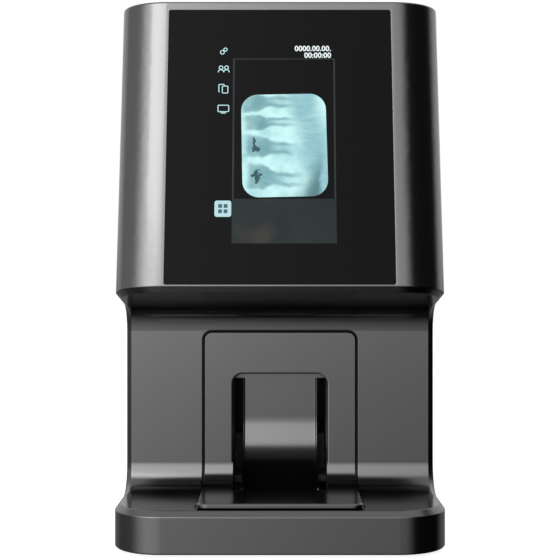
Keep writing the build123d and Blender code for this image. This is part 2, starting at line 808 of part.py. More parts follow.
def make_chute():
    """The tongue with the channel wall over it, and the cheeks beside it."""
    arc_z = floor_height + tongue_arc
    arc_y = tongue_y - tongue_arc
    rim_y = tongue_y - tongue_rim_height
    rim_arc = tongue_arc - tongue_rim_height
    strip = tongue_strip(0, slot_top + tongue_thickness, -tongue_width / 2, tongue_width / 2)
    for side in (-1, 1):
        outer = side * tongue_width / 2
        inner = outer - side * tongue_rim_width
        rim = tongue_strip(tongue_rim_height, slot_top, min(inner, outer), max(inner, outer))
        slope = []
        for edge in rim.edges():
            middle = edge.center()
            upright = edge.geom_type == GeomType.LINE and abs(middle.Y - rim_y) < 0.01
            bent = edge.geom_type == GeomType.CIRCLE and abs(edge.radius - rim_arc) < 0.01
            if abs(middle.X - inner) < 0.01 and (upright or bent):
                slope.append(edge)
        strip += chamfer(slope, tongue_rim_height)
    header = block(-side_frame_x, side_frame_x, tongue_y, tongue_back_y, cheek_top, header_top)
    header += block(-mouth_width / 2, mouth_width / 2, tongue_y, tongue_back_y, slot_top, cheek_top)
    window_half = roller_length / 2 + window_gap
    for z in (lower_roller_height, upper_roller_height):
        reach = roller_radius + window_gap
        header -= block(-window_half, window_half, tongue_y - 1, tongue_back_y + 1, z - reach, z + reach)
    half = scan_window_width / 2
    header -= block(-half, half, tongue_y - 1, tongue_back_y + 1, scan_window_bottom, scan_window_top)
    header -= block(-erase_half, erase_half, tongue_y - 1, tongue_back_y + 1,
                    erase_bottom + erase_window_margin, erase_bottom + erase_height - erase_window_margin)
    tongue = strip + header
    for side in (-1, 1):
        x = side * tongue_rib_place
        rib = block(x - tongue_rib_thickness / 2, x + tongue_rib_thickness / 2,
                    arc_y + tongue_rib_gap, tongue_back_y, plate_top, arc_z)
        tongue += rib - bar_x(-width, width, arc_y, arc_z, tongue_arc + tongue_thickness / 2)
    sub_parts["chute_tongue"] = tongue

    cheeks = []
    for side in (-1, 1):
        inner, outer_x = side * mouth_width / 2, side * cheek_outer
        cheeks.append(block(min(inner, outer_x), max(inner, outer_x), pocket_y,
                            tongue_y + cheek_reach, plate_top, cheek_top))
    sub_parts["chute_cheeks"] = group(cheeks)


def roller(radius, y, z, left):
    """A rubber-faced roller with its shaft."""
    return bar_x(-roller_length / 2, roller_length / 2, y, z, radius) + bar_x(
        -left, shaft_reach, y, z, shaft_radius)


def pulley(seat_radius, flange_radius, bore, y, z):
    """A belt pulley with two flanges on the belt's line."""
    left = pulley_x - pulley_width
    body = bar_x(left, pulley_x, y, z, seat_radius)
    body += bar_x(left, left + pulley_flange, y, z, flange_radius)
    body += bar_x(pulley_x - pulley_flange, pulley_x, y, z, flange_radius)
    return body - bar_x(left - 1, pulley_x + 1, y, z, bore)


def make_transport():
    """The roller pairs, their bearings and side frames, and the belt drive."""
    long_end = -pulley_x + pulley_width
    sub_parts["lower_drive_roller"] = roller(roller_radius, drive_y, lower_roller_height, long_end)
    sub_parts["upper_drive_roller"] = roller(roller_radius, drive_y, upper_roller_height, long_end)
    sub_parts["lower_idler_roller"] = roller(idler_radius, idler_y, lower_roller_height, shaft_reach)
    sub_parts["upper_idler_roller"] = roller(idler_radius, idler_y, upper_roller_height, shaft_reach)
    frames, bearings = [], []
    for side in (-1, 1):
        inner, outer = side * side_frame_x, side * frame_outer_x
        frame = block(min(inner, outer), max(inner, outer), tongue_y - side_frame_reach,
                      optics_front, lower_roller_height - side_frame_drop, header_top)
        for y in (drive_y, idler_y):
            for z in (lower_roller_height, upper_roller_height):
                frame -= bar_x(-width, width, y, z, bearing_radius)
                flange = side * (frame_outer_x + bearing_flange)
                bush = bar_x(min(inner, outer), max(inner, outer), y, z, bearing_radius)
                bush += bar_x(min(outer, flange), max(outer, flange), y, z, bearing_flange_radius)
                bearings.append(bush - bar_x(-width, width, y, z, shaft_radius + shaft_fit))
        frames.append(frame)
    sub_parts["roller_side_frames"] = group(frames)
    sub_parts["roller_bearings"] = group(bearings)
    sub_parts["lower_pulley"] = pulley(
        pulley_radius, pulley_flange_radius, shaft_radius, drive_y, lower_roller_height)
    sub_parts["upper_pulley"] = pulley(
        pulley_radius, pulley_flange_radius, shaft_radius, drive_y, upper_roller_height)
    left = pulley_x - pulley_width
    wheel = pulley(motor_pulley_radius, motor_pulley_flange_radius, motor_shaft_radius,
                   motor_pulley_y, beam_height)
    wheel += bar_x(motor_face_x + nip_gap, pulley_x, motor_pulley_y, beam_height, motor_shaft_radius)
    sub_parts["motor_pulley"] = wheel
    belt_places = [
        (drive_y, lower_roller_height, pulley_radius),
        (drive_y, upper_roller_height, pulley_radius),
        (motor_pulley_y, beam_height, motor_pulley_radius),
    ]
    loops = []
    for grow in (belt_clearance, belt_clearance + belt_thickness):
        rings = [Pos(y, z) * CenterArc((0, 0), radius + grow, 0, 360) for y, z, radius in belt_places]
        loops.append(make_hull(rings))
    band = loops[1] - loops[0]
    belt_left = left + pulley_flange + belt_side_gap
    belt = extrude(Plane.YZ * band, amount=belt_width)
    sub_parts["drive_belt"] = Pos(belt_left, 0, 0) * belt
    sub_parts["drive_motor"] = motor_x(motor_face_x)
    half = motor_size / 2
    plate = block(motor_face_x, motor_face_x + motor_bracket_thickness, motor_pulley_y - half,
                  chassis_y, beam_height - half, beam_height + half)
    plate -= bar_x(-width, width, motor_pulley_y, beam_height, motor_pilot_radius)
    sub_parts["motor_bracket"] = plate


def motor_x(face_x):
    """The belt motor's square can, its front on face_x."""
    can = Box(motor_length, motor_size, motor_size)
    can = chamfer(can.edges().filter_by(Axis.X), motor_corner)
    return Pos(face_x - motor_length / 2, motor_pulley_y, beam_height) * can


def make_lifter():
    """The plate lifter: motor, screw, guide rods, yoke with its nut, and the two fingers."""
    half = motor_size / 2
    can = Box(motor_size, motor_size, motor_size)
    can = chamfer(can.edges().filter_by(Axis.Z), motor_corner)
    sub_parts["lifter_motor"] = Pos(0, lifter_y, plate_top + half) * can
    yoke_half = mouth_width / 2
    base = block(-yoke_half, yoke_half, lifter_y - yoke_depth / 2 + 1, lifter_y + half,
                 lifter_base_bottom, lifter_base_top)
    base -= post(0, lifter_y, 0, height, collar_radius + 1)
    yoke = block(-yoke_half, yoke_half, finger_back_y, lifter_y + yoke_depth / 2,
                 yoke_bottom, yoke_top)
    yoke -= post(0, lifter_y, 0, height, nut_radius)
    shelf = block(-shelf_half_width, shelf_half_width, finger_back_y + 1, lifter_y + shelf_reach,
                  shelf_bottom, shelf_top)
    for side in (-1, 1):
        shelf += post(side * shelf_post_x, lifter_y + shelf_post_reach, shelf_top,
                      optics_base_bottom, shelf_post_radius)
    shelf -= post(0, lifter_y, 0, height, journal_radius + lifter_fit)
    rods = []
    for side in (-1, 1):
        x = side * rod_place
        yoke -= post(x, lifter_y, 0, height, rod_radius + lifter_fit)
        shelf -= post(x, lifter_y, 0, height, rod_radius)
        base -= post(x, lifter_y, 0, height, rod_radius)
        rods.append(post(x, lifter_y, lifter_base_bottom, shelf_top, rod_radius))
    sub_parts["lifter_end_plates"] = group([base, shelf])
    sub_parts["lifter_guide_rods"] = group(rods)
    sub_parts["lifter_yoke"] = yoke
    nut_bottom = yoke_bottom - nut_flange
    nut = post(0, lifter_y, yoke_bottom, yoke_top, nut_radius)
    nut += post(0, lifter_y, nut_bottom, yoke_bottom, nut_flange_radius)
    sub_parts["lifter_nut"] = nut - post(0, lifter_y, 0, height, lifter_screw_radius + lifter_fit)
    collar_bottom = lifter_base_bottom + lifter_end_gap
    screw = post(0, lifter_y, collar_bottom, collar_bottom + collar_height, collar_radius)
    screw += post(0, lifter_y, collar_bottom, shelf_bottom - lifter_end_gap, lifter_screw_radius)
    screw += post(0, lifter_y, shelf_bottom - 1, shelf_top, journal_radius)
    sub_parts["lifter_screw"] = screw
    fingers = []
    for side in (-1, 1):
        x0 = side * finger_x - finger_width / 2
        x1 = side * finger_x + finger_width / 2
        leg = block(x0, x1, finger_back_y - finger_leg, finger_back_y, finger_bottom, yoke_top)
        arm = block(x0, x1, tongue_y - finger_reach, finger_back_y, finger_bottom,
                    finger_bottom + finger_thickness)
        fingers.append(leg + arm)
    sub_parts["lifter_fingers"] = group(fingers)


def make_optics():
    """The optics deck: laser, scanning mirror, lens, light guide, photomultiplier and erase bar."""
    laser_end = laser_start + laser_length
    base = block(-optics_base_left, laser_end + optics_base_margin, optics_front, chassis_y,
                 optics_base_bottom, optics_top)
    base -= post(0, mirror_y, 0, height, galvo_shaft_radius + galvo_fit)
    sub_parts["optics_base"] = base
    galvo_bottom = optics_base_bottom - galvo_length
    sub_parts["galvo_motor"] = post(0, mirror_y, galvo_bottom, optics_base_bottom, galvo_radius) - post(
        0, mirror_y, optics_base_bottom - galvo_length / 2, height, galvo_shaft_radius + galvo_fit)
    mirror_bottom = beam_height - mirror_height / 2
    shaft = post(0, mirror_y, optics_base_bottom - galvo_length / 3, mirror_bottom, galvo_shaft_radius)
    mirror = Box(mirror_width, mirror_thickness, mirror_height)
    sub_parts["galvo_mirror"] = shaft + Pos(0, mirror_y, beam_height) * Rot(0, 0, -45) * mirror
    laser = bar_x(laser_start, laser_end, mirror_y, beam_height, laser_radius)
    laser -= bar_x(laser_start - 1, laser_start + laser_aperture, mirror_y, beam_height, laser_aperture)
    sub_parts["laser_module"] = laser
    laser_middle = laser_start + laser_length / 2
    clamp_half = laser_block_width / 2
    clamp_front = mirror_y - laser_radius - clamp_wall
    clamp = block(laser_middle - clamp_half, laser_middle + clamp_half, clamp_front,
                  optics_back_y, optics_top, beam_height + laser_radius / 2)
    clamp -= bar_x(0, width, mirror_y, beam_height, laser_radius)
    clamp -= block(0, width, mirror_y - laser_radius, mirror_y + laser_radius, beam_height, height)
    holder = block(-lens_holder_width / 2, lens_holder_width / 2, lens_y - lens_thickness / 2,
                   lens_y + lens_thickness / 2, optics_top, beam_height + lens_radius + lens_holder_cap)
    holder -= bar_y(0, lens_y * 2, 0, beam_height, lens_radius)
    lens = bar_y(lens_y - lens_thickness / 2, lens_y + lens_thickness / 2, 0, beam_height, lens_radius)
    sub_parts["scan_lens"] = lens
    guide_half = scan_window_width / 2
    guide_y = tongue_back_y + guide_step
    slab = block(-guide_half, guide_half, tongue_back_y, guide_y, guide_bottom, scan_window_top)
    wide_end = Plane(origin=(0, guide_y, (guide_bottom + scan_window_top) / 2), x_dir=(1, 0, 0),
                     z_dir=(0, -1, 0)) * Rectangle(2 * guide_half, guide_thickness)
    small_end = Plane(origin=(0, tube_front, tube_height), x_dir=(1, 0, 0),
                      z_dir=(0, -1, 0)) * Rectangle(2 * guide_end_half, 2 * guide_end_half)
    sub_parts["light_guide"] = slab + loft([wide_end.face(), small_end.face()])
    tube_end = tube_front + tube_length
    sub_parts["photomultiplier"] = bar_y(tube_front, tube_end, 0, tube_height, tube_radius)
    shield = bar_y(tube_front, tube_end + shield_thickness, 0, tube_height,
                   tube_radius + shield_thickness)
    shield -= bar_y(tube_front - 1, tube_end, 0, tube_height, tube_radius)
    sub_parts["tube_shield"] = shield
    stand_front = tube_front + stand_setback
    stand = block(-stand_width / 2, stand_width / 2, stand_front, stand_front + stand_depth,
                  optics_top, tube_height)
    stand -= bar_y(0, depth, 0, tube_height, tube_radius + shield_thickness)
    tunnel = beam_tunnel_width / 2
    stand -= block(-tunnel, tunnel, 0, depth, optics_top - 1, beam_height + lens_radius)
    sub_parts["optics_mounts"] = group([clamp, holder, stand])
    board_half = erase_half + erase_margin
    erase_board = block(-board_half, board_half, tongue_back_y, tongue_back_y + board_thickness,
                        erase_bottom, erase_bottom + erase_height)
    leds = [erase_board]
    for index in range(led_count):
        x = (index - (led_count - 1) / 2) * led_pitch
        z = erase_bottom + erase_height / 2
        leds.append(block(x - led_size / 2, x + led_size / 2, tongue_back_y - led_height,
                          tongue_back_y, z - led_size / 2, z + led_size / 2))
    sub_parts["erase_light"] = group(leds)
    half = sensor_width / 2
    sensor_bottom = cheek_top - sensor_drop
    sub_parts["plate_sensor"] = block(-half, half, tongue_back_y, tongue_back_y + sensor_depth,
                                      sensor_bottom, sensor_bottom + sensor_height)


def spacer_places():
    """Where the rear housing is screwed to the chassis."""
    x = width / 2 - spacer_side_margin
    return [(side * x, z) for side in (-1, 1) for z in (spacer_low, chassis_top - spacer_drop)]


def chip_block(base_z, left, low, chip_width, chip_size, steps):
    """One component on the front of a board, in steps of the board's pitch from base_z."""
    front = board_front_y - board_thickness
    x, z = left * chip_pitch, base_z + low * chip_pitch
    return block(x, x + chip_width * chip_pitch, front - steps * chip_height, front,
                 z, z + chip_size * chip_pitch)


def board_with_standoffs(name, board_width, bottom, board_height):
    """A board in front of the chassis on four standoffs."""
    sub_parts[name] = block(-board_width / 2, board_width / 2, board_front_y - board_thickness,
                            board_front_y, bottom, bottom + board_height)
    stands = []
    x = board_width / 2 - standoff_radius
    for side in (-1, 1):
        for z in (bottom + standoff_radius, bottom + board_height - standoff_radius):
            stands.append(bar_y(board_front_y, chassis_y, side * x, z, standoff_radius))
    return stands


def make_chassis():
    """The upright chassis, the boards on it and the rear spacers and screws."""
    half = chassis_width / 2
    back = chassis_y + chassis_thickness
    plate = block(-half, half, chassis_y, back, plate_top, chassis_top)
    plate += block(-half, half, chassis_y, back + chassis_flange, plate_top,
                   plate_top + chassis_thickness)
    sub_parts["chassis"] = plate
    spacers, screws = [], []
    for x, z in spacer_places():
        spacer = bar_y(back, inner_back_y, x, z, spacer_radius)
        spacers.append(spacer - bar_y(inner_back_y - screw_length, inner_back_y + 1, x, z, screw_radius))
        screws.append(rear_screw(x, z))
    for x, z in fan_screw_places():
        screws.append(rear_screw(x, z))
    sub_parts["chassis_spacers"] = group(spacers)
    sub_parts["rear_screws"] = group(screws)
    stands = screen_standoffs()
    stands += board_with_standoffs("main_board", main_board_width, main_board_bottom, main_board_height)
    stands += board_with_standoffs(
        "power_board", power_board_width, power_board_bottom, power_board_height)
    sub_parts["board_standoffs"] = group(stands)
    middle = main_board_bottom + main_board_height / 2
    power_middle = power_board_bottom + power_board_height / 2
    front = board_front_y - board_thickness
    chips = [
        chip_block(middle, -6, -3, 12, 12, 1),
        chip_block(middle, -18, -1, 6, 8, 0.5),
        chip_block(middle, 10, -1, 6, 8, 0.5),
        chip_block(middle, -15, -16, 5, 5, 0.5),
        chip_block(middle, 7, -17, 7, 7, 0.5),
        chip_block(middle, -10, 13, 20, 3, 3),
        chip_block(power_middle, -20, -11, 11, 10, 8),
        chip_block(power_middle, 10, 1, 8, 8, 4),
    ]
    for column in (-3, 4):
        x, z = column * chip_pitch, power_middle + 6 * chip_pitch
        chips.append(bar_y(front - 7 * chip_height, front, x, z, capacitor_radius))
    sub_parts["board_components"] = group(chips)


def rear_screw(x, z):
    """A pan-head screw from the rear face inwards, its head below the surface."""
    head = bar_y(back_y - screw_head_height, back_y - fit_gap, x, z, screw_head_radius)
    return head + bar_y(back_y - screw_length, back_y - screw_head_height, x, z, screw_radius)


def grille_rows():
    """The heights of the fan grille's slots."""
    count = int((grille_radius - grille_slot) // grille_pitch)
    return [fan_height + index * grille_pitch for index in range(-count, count + 1)]


def fan_screw_places():
    """Where the fan is screwed to the rear wall."""
    return [(sx * fan_screw_place, fan_height + sz * fan_screw_place) for sx in (-1, 1) for sz in (-1, 1)]


def make_fan():
    """The fan's frame with its struts and pin, and its rotor."""
    half = fan_size / 2
    front, back = fan_front_y, inner_back_y
    frame = block(-half, half, front, back, fan_height - half, fan_height + half)
    frame -= bar_y(front - 1, back + 1, 0, fan_height, fan_bore_radius)
    base_y = front + fan_hub_base
    frame += bar_y(front, base_y, 0, fan_height, fan_hub_radius)
    strut = block(-half, half, front, base_y, fan_height - fan_strut / 2, fan_height + fan_strut / 2)
    upright = block(-fan_strut / 2, fan_strut / 2, front, base_y, fan_height - half, fan_height + half)
    frame += strut + upright
    pin_end = back - fan_hub_base
    frame += bar_y(base_y, pin_end, 0, fan_height, fan_pin_radius)
    for x, z in fan_screw_places():
        frame -= bar_y(front - 1, back + 1, x, z, screw_radius)
    sub_parts["fan_frame"] = frame
    rotor_front = base_y + fan_hub_gap
    rotor_back = back - fan_tip_gap
    hub = bar_y(rotor_front, rotor_back, 0, fan_height, fan_hub_radius)
    tip = fan_bore_radius - fan_tip_gap
    blade_span = tip - fan_hub_radius + 2 * fan_blade_bite
    rotor_middle = (rotor_front + rotor_back) / 2
    blade_rise = rotor_back - rotor_front - 2 * fan_blade_bite
    blade_chord = blade_rise / math.cos(math.radians(fan_blade_angle))
    for index in range(fan_blades):
        blade = Box(fan_blade_thickness, blade_chord, blade_span)
        blade = Rot(0, 0, fan_blade_angle) * blade
        blade = Pos(0, 0, fan_hub_radius - fan_blade_bite + blade_span / 2) * blade
        hub += Pos(0, rotor_middle, fan_height) * Rot(0, index * 360 / fan_blades, 0) * blade
    hub &= bar_y(rotor_front, rotor_back, 0, fan_height, tip)
    hub -= bar_y(rotor_front - 1, pin_end + fan_hub_gap / 2, 0, fan_height, fan_pin_radius + shaft_fit)
    sub_parts["fan_rotor"] = hub


def io_opening():
    """The window in the rear wall over the connector panel."""
    sheet = Plane(origin=(0, back_y + 1, io_middle), x_dir=(1, 0, 0), z_dir=(0, -1, 0))
    return extrude(sheet * RectangleRounded(io_width, io_height, io_corner), amount=wall + 2)


def socket(x, socket_width, socket_size, front):
    """A square socket whose cavity opens to the rear."""
    half, rise = socket_width / 2, socket_size / 2
    body = block(x - half, x + half, front, inner_back_y, io_middle - rise, io_middle + rise)
    inner, inner_rise = half - socket_wall, rise - socket_wall
    return body - block(x - inner, x + inner, inner_back_y - socket_cavity, inner_back_y + 1,
                        io_middle - inner_rise, io_middle + inner_rise)


def make_rear_panel():
    """The connector panel with its power switch, power inlet and data sockets."""
    border = io_plate_border
    plate_front = inner_back_y - io_plate_thickness
    plate = block(-io_width / 2 - border, io_width / 2 + border, plate_front, inner_back_y,
                  io_bottom - border, io_bottom + io_height + border)
    socket_front = inner_back_y - socket_depth
    gap = fit_gap
    for x, size_x, size_z in ((usb_x, usb_width, usb_height), (lan_x, lan_width, lan_height)):
        plate -= block(x - size_x / 2 - gap, x + size_x / 2 + gap, plate_front - 1, inner_back_y + 1,
                       io_middle - size_z / 2 - gap, io_middle + size_z / 2 + gap)
    plate -= bar_y(plate_front - 1, inner_back_y + 1, inlet_x, io_middle, inlet_radius + gap)
    throat_x = bezel_width / 2 - bezel_border
    throat_z = bezel_height / 2 - bezel_border
    outer_x, outer_z = throat_x + bezel_border / 2, throat_z + bezel_border / 2
    plate -= block(switch_x - outer_x - gap, switch_x + outer_x + gap, plate_front - 1,
                   inner_back_y + 1, io_middle - outer_z - gap, io_middle + outer_z + gap)
    sub_parts["io_panel"] = plate
    lip = inner_back_y + bezel_standout
    bezel = block(switch_x - bezel_width / 2, switch_x + bezel_width / 2, inner_back_y, lip,
                  io_middle - bezel_height / 2, io_middle + bezel_height / 2)
    bezel += block(switch_x - outer_x, switch_x + outer_x, inner_back_y - bezel_depth, inner_back_y,
                   io_middle - outer_z, io_middle + outer_z)
    well = inner_back_y - bezel_depth + bezel_floor
    bezel -= block(switch_x - throat_x, switch_x + throat_x, well, lip + 1,
                   io_middle - throat_z, io_middle + throat_z)
    pin_half = throat_x + rocker_pin_bite
    bezel += bar_x(switch_x - pin_half, switch_x + pin_half, switch_y, io_middle, rocker_pin_radius)
    sub_parts["switch_bezel"] = bezel
    half = throat_x - rocker_gap
    body = bar_x(switch_x - half, switch_x + half, switch_y, io_middle, rocker_radius)
    body &= block(-width, width, switch_y - rocker_depth, back_y, 0, height)
    for side in (-1, 1):
        wing = Box(width, rocker_radius, 2 * rocker_radius)
        wing = Pos(switch_x, switch_y, io_middle) * Rot(side * rocker_tilt, 0, 0) * Pos(
            0, rocker_radius, side * rocker_radius) * wing
        body -= wing
    body -= bar_x(-width, width, switch_y, io_middle, rocker_pin_radius + shaft_fit)
    swing = Pos(switch_x, switch_y, io_middle) * Rot(-rocker_tilt, 0, 0)
    body = swing * Pos(-switch_x, -switch_y, -io_middle) * body
    sub_parts["power_switch"] = body
    inlet = bar_y(inner_back_y - inlet_depth, inner_back_y, inlet_x, io_middle, inlet_radius)
    inlet += bar_y(inner_back_y, inner_back_y + bezel_standout, inlet_x, io_middle, inlet_nut_radius)
    inlet_end = inner_back_y - inlet_depth + inlet_floor
    inlet -= bar_y(inlet_end, back_y, inlet_x, io_middle, inlet_bore)
    inlet += bar_y(inlet_end - inlet_floor / 2, inner_back_y - 1, inlet_x, io_middle, inlet_pin)
    sub_parts["dc_inlet"] = inlet
    usb = socket(usb_x, usb_width, usb_height, socket_front)
    half, rise = usb_tongue_width / 2, usb_tongue_height / 2
    usb += block(usb_x - half, usb_x + half, socket_front + socket_wall,
                 inner_back_y - usb_tongue_setback, io_middle - rise, io_middle + rise)
    sub_parts["data_sockets"] = group([usb, socket(lan_x, lan_width, lan_height, socket_front)])


make_casing()
make_bottom()
make_screen()
make_insert()
make_chute()
make_transport()
make_lifter()
make_optics()
make_chassis()
make_fan()
make_rear_panel()

for node, solid in sub_parts.items():
    export_step(solid, f"parts/{node}.step")
print(len(sub_parts), "nodes")
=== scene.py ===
# %% [markdown]
# # Dressing a phosphor plate scanner
# The scanner's pieces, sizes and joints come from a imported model. This lesson gives every piece
# its finish, models what is too fine for the solids, and sets the camera, floor and light.
# Everything is in metres, with +Z up and the scanner's front towards -Y.

# %% Load the frame
import json
import math

import bpy
from mathutils import Matrix, Vector


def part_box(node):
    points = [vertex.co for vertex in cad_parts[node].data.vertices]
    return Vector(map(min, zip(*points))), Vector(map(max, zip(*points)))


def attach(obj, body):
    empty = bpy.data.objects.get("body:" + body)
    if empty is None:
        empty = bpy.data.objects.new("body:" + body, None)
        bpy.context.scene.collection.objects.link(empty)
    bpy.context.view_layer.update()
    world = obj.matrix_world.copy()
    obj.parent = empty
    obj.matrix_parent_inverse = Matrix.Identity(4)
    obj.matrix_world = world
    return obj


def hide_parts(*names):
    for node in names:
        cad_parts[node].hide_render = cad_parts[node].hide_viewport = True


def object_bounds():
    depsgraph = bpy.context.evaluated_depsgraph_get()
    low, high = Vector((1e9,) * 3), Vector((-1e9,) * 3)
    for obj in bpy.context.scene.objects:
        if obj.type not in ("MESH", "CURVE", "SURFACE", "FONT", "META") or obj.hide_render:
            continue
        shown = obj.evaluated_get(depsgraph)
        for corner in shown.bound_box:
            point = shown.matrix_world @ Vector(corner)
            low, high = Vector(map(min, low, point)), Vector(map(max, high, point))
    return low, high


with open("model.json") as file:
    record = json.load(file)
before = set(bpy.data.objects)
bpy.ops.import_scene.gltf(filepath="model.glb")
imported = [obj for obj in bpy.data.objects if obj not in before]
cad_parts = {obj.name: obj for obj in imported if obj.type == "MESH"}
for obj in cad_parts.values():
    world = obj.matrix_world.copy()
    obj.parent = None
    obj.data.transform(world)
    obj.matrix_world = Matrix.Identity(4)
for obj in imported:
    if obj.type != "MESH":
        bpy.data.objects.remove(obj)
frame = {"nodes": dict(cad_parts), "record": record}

cad_box = [list(corner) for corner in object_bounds()]
nodes = frame["nodes"]
MM = 0.001
bpy.ops.object.select_all(action="DESELECT")
print("nodes:", len(nodes), "box:", cad_box)

# %% [markdown]
# ## Camera
# The photograph looks straight along +Y from a little over half a metre in front of the base, level
# and at half the scanner's height. The base is nearest and the screen leans away, so a true
# perspective matters: from further off the head would look too wide.

# %% Set up the camera
camera_distance = 0.558
camera_height = 0.1299
lens = 76.95
front_y = cad_box[0][1]

bpy.ops.object.camera_add(
    location=(0, front_y - camera_distance, camera_height), rotation=(math.radians(90), 0, 0)
)
camera = bpy.context.object
camera.name = "camera"
camera.data.lens = lens
camera.data.sensor_width = 36
bpy.context.scene.camera = camera
print("camera at", tuple(camera.location))

# %% [markdown]
# ## A small language for finishes
# Each finish is a handful of nodes. Written out, even `1 - mask * 0.3` takes three calls, so a
# `Value` wraps one output socket and turns Python's operators into Math nodes. A `Board` is one
# tree of nodes, with one method, `node`, for every other kind of node. A `Finish` is the board
# of one material.


# %% Numbers that a finish works out
class Value:
    """One output socket; arithmetic on it adds Math nodes to its board."""

    def __init__(self, board, socket):
        self.board = board
        self.socket = socket

    def maths(self, operation, *numbers):
        return self.board.node("ShaderNodeMath", {"operation": operation}, dict(enumerate(numbers)))

    def __add__(self, other):
        return self.maths("ADD", self, other)

    def __radd__(self, other):
        return self.maths("ADD", other, self)

    def __sub__(self, other):
        return self.maths("SUBTRACT", self, other)

    def __rsub__(self, other):
        return self.maths("SUBTRACT", other, self)

    def __mul__(self, other):
        return self.maths("MULTIPLY", self, other)

    def __rmul__(self, other):
        return self.maths("MULTIPLY", other, self)

    def __truediv__(self, other):
        return self.maths("DIVIDE", self, other)

    def size(self):
        return self.maths("ABSOLUTE", self)

    def or_more(self, other):
        return self.maths("MAXIMUM", self, other)

    def step(self, start, end):
        """0 up to start and 1 from end, with a smooth rise between them."""
        settings = {"interpolation_type": "SMOOTHSTEP"}
        places = {"Value": self, "From Min": start, "From Max": end}
        return self.board.node("ShaderNodeMapRange", settings, places)

    def within(self, low, high, soft):
        """1 between low and high and 0 outside, with soft edges."""
        return self.step(low - soft, low + soft) * (1 - self.step(high - soft, high + soft))


class Board:
    """One tree of nodes."""

    def __init__(self, tree):
        self.tree = tree
        tree.nodes.clear()

    def plug(self, target, value):
        """Links a Value to an input, or writes a plain number or colour on it."""
        if isinstance(value, Value):
            self.tree.links.new(value.socket, target)
        elif isinstance(value, tuple) and len(target.default_value) == 4:
            target.default_value = (*value, 1.0)[:4]
        else:
            target.default_value = value

    def node(self, kind, settings=None, inputs=None, output=0):
        """Any node: its settings are written first, then its inputs are filled or linked."""
        made = self.tree.nodes.new(kind)
        for name, value in (settings or {}).items():
            setattr(made, name, value)
        for name, value in (inputs or {}).items():
            self.plug(made.inputs[name], value)
        return Value(self, made.outputs[output]) if made.outputs else made

    def mix(self, factor, first, second):
        """A blend of two colours."""
        return self.node("ShaderNodeMix", {"data_type": "RGBA"}, {0: factor, 6: first, 7: second}, 2)

    def blend(self, factor, first, second):
        """A blend of two numbers."""
        return self.node("ShaderNodeMix", {"data_type": "FLOAT"}, {0: factor, 2: first, 3: second})

    def split(self, vector):
        """The three numbers of a vector."""
        parts = self.node("ShaderNodeSeparateXYZ", inputs={"Vector": vector}).socket.node
        return [Value(self, socket) for socket in parts.outputs]


class Finish(Board):
    """One material: its nodes, and the Principled shader that they feed."""

    def __init__(self, name, colour, roughness, metallic=0.0, **sockets):
        self.material = bpy.data.materials.new(name)
        self.material.use_nodes = True
        super().__init__(self.material.node_tree)
        self.surface = self.node("ShaderNodeBsdfPrincipled")
        self.node("ShaderNodeOutputMaterial", inputs={"Surface": self.surface})
        self.set("Base Color", colour)
        self.set("Roughness", roughness)
        self.set("Metallic", metallic)
        for socket, value in sockets.items():
            self.set(socket.replace("_", " "), value)

    def set(self, socket, value):
        self.plug(self.surface.socket.node.inputs[socket], value)

    def place(self):
        """Where a point of the surface is, in the scanner's own frame."""
        return self.node("ShaderNodeTexCoord", output="Object")

    def axes(self):
        """The same place as three numbers, in metres."""
        return self.split(self.place())

    def noise(self, grain, detail=2.0, stretch=(1, 1, 1)):
        """Noise from 0 to 1 whose lumps are about grain metres wide."""
        turned = self.node("ShaderNodeMapping", inputs={"Vector": self.place(), "Scale": stretch})
        inputs = {"Vector": turned, "Scale": 1 / grain, "Detail": detail}
        return self.node("ShaderNodeTexNoise", {"noise_dimensions": "3D"}, inputs)

    def relief(self, height, depth, edge=0.0):
        """Bumps, depth metres high where height is 1, on edges rounded to the radius edge."""
        inputs = {"Height": height, "Distance": depth}
        if edge:
            rounded = self.node("ShaderNodeBevel", {"samples": 8}, {"Radius": edge})
            inputs["Normal"] = rounded
        self.set("Normal", self.node("ShaderNodeBump", inputs=inputs))


finishes = {}


def paint_node(name, finish):
    """Gives a solid from the model a finish."""
    mesh = nodes[name].data
    mesh.materials.clear()
    mesh.materials.append(finish.material)


print("finish helpers ready")

# %% [markdown]
# ## The casing's paint
# The casing is sprayed a dark metallic grey and nearly polished. It mirrors the room, and at a
# grazing view the neck shows in the base's floor. So it is a dark metal with a low roughness, a
# dimmed edge tint and a faint orange peel, and its sharp edges shade as if slightly rounded. The
# chute front has crisper edges than the housing. The pocket and groove round the chute front get
# painted shade, a near-black colour, so its outline draws a thin dark line.

# %% Casing paint
flake_dark, flake_light = (0.165, 0.165, 0.167), (0.205, 0.205, 0.208)
edge_tint = (0.7, 0.7, 0.7)
flake_grain = 0.00025
peel_grain = 0.0022
peel_depth = 0.000004
edge_round, crisp_edge = 0.0006, 0.0002
# Painted shade: the near-black colour of the pocket and groove round the chute front.
painted_groove_shade = (0.03, 0.03, 0.03)
groove, groove_corner = 0.75 * MM, 4.5 * MM
neck_y = -46.8 * MM
pocket_depth = 0.4 * MM
mask_soft = 0.05 * MM


def casing_paint(name, edge):
    finish = Finish(name, flake_light, 0.4, 1.0, Specular_Tint=edge_tint)
    flakes = finish.noise(flake_grain, 1.0)
    cloud = finish.noise(0.05, 2.0)
    finish.set("Base Color", finish.mix(flakes, flake_dark, flake_light))
    finish.set("Roughness", 0.16 + flakes * 0.04 + cloud * 0.02)
    finish.relief(finish.noise(peel_grain, 1.0), peel_depth, edge)
    return finish


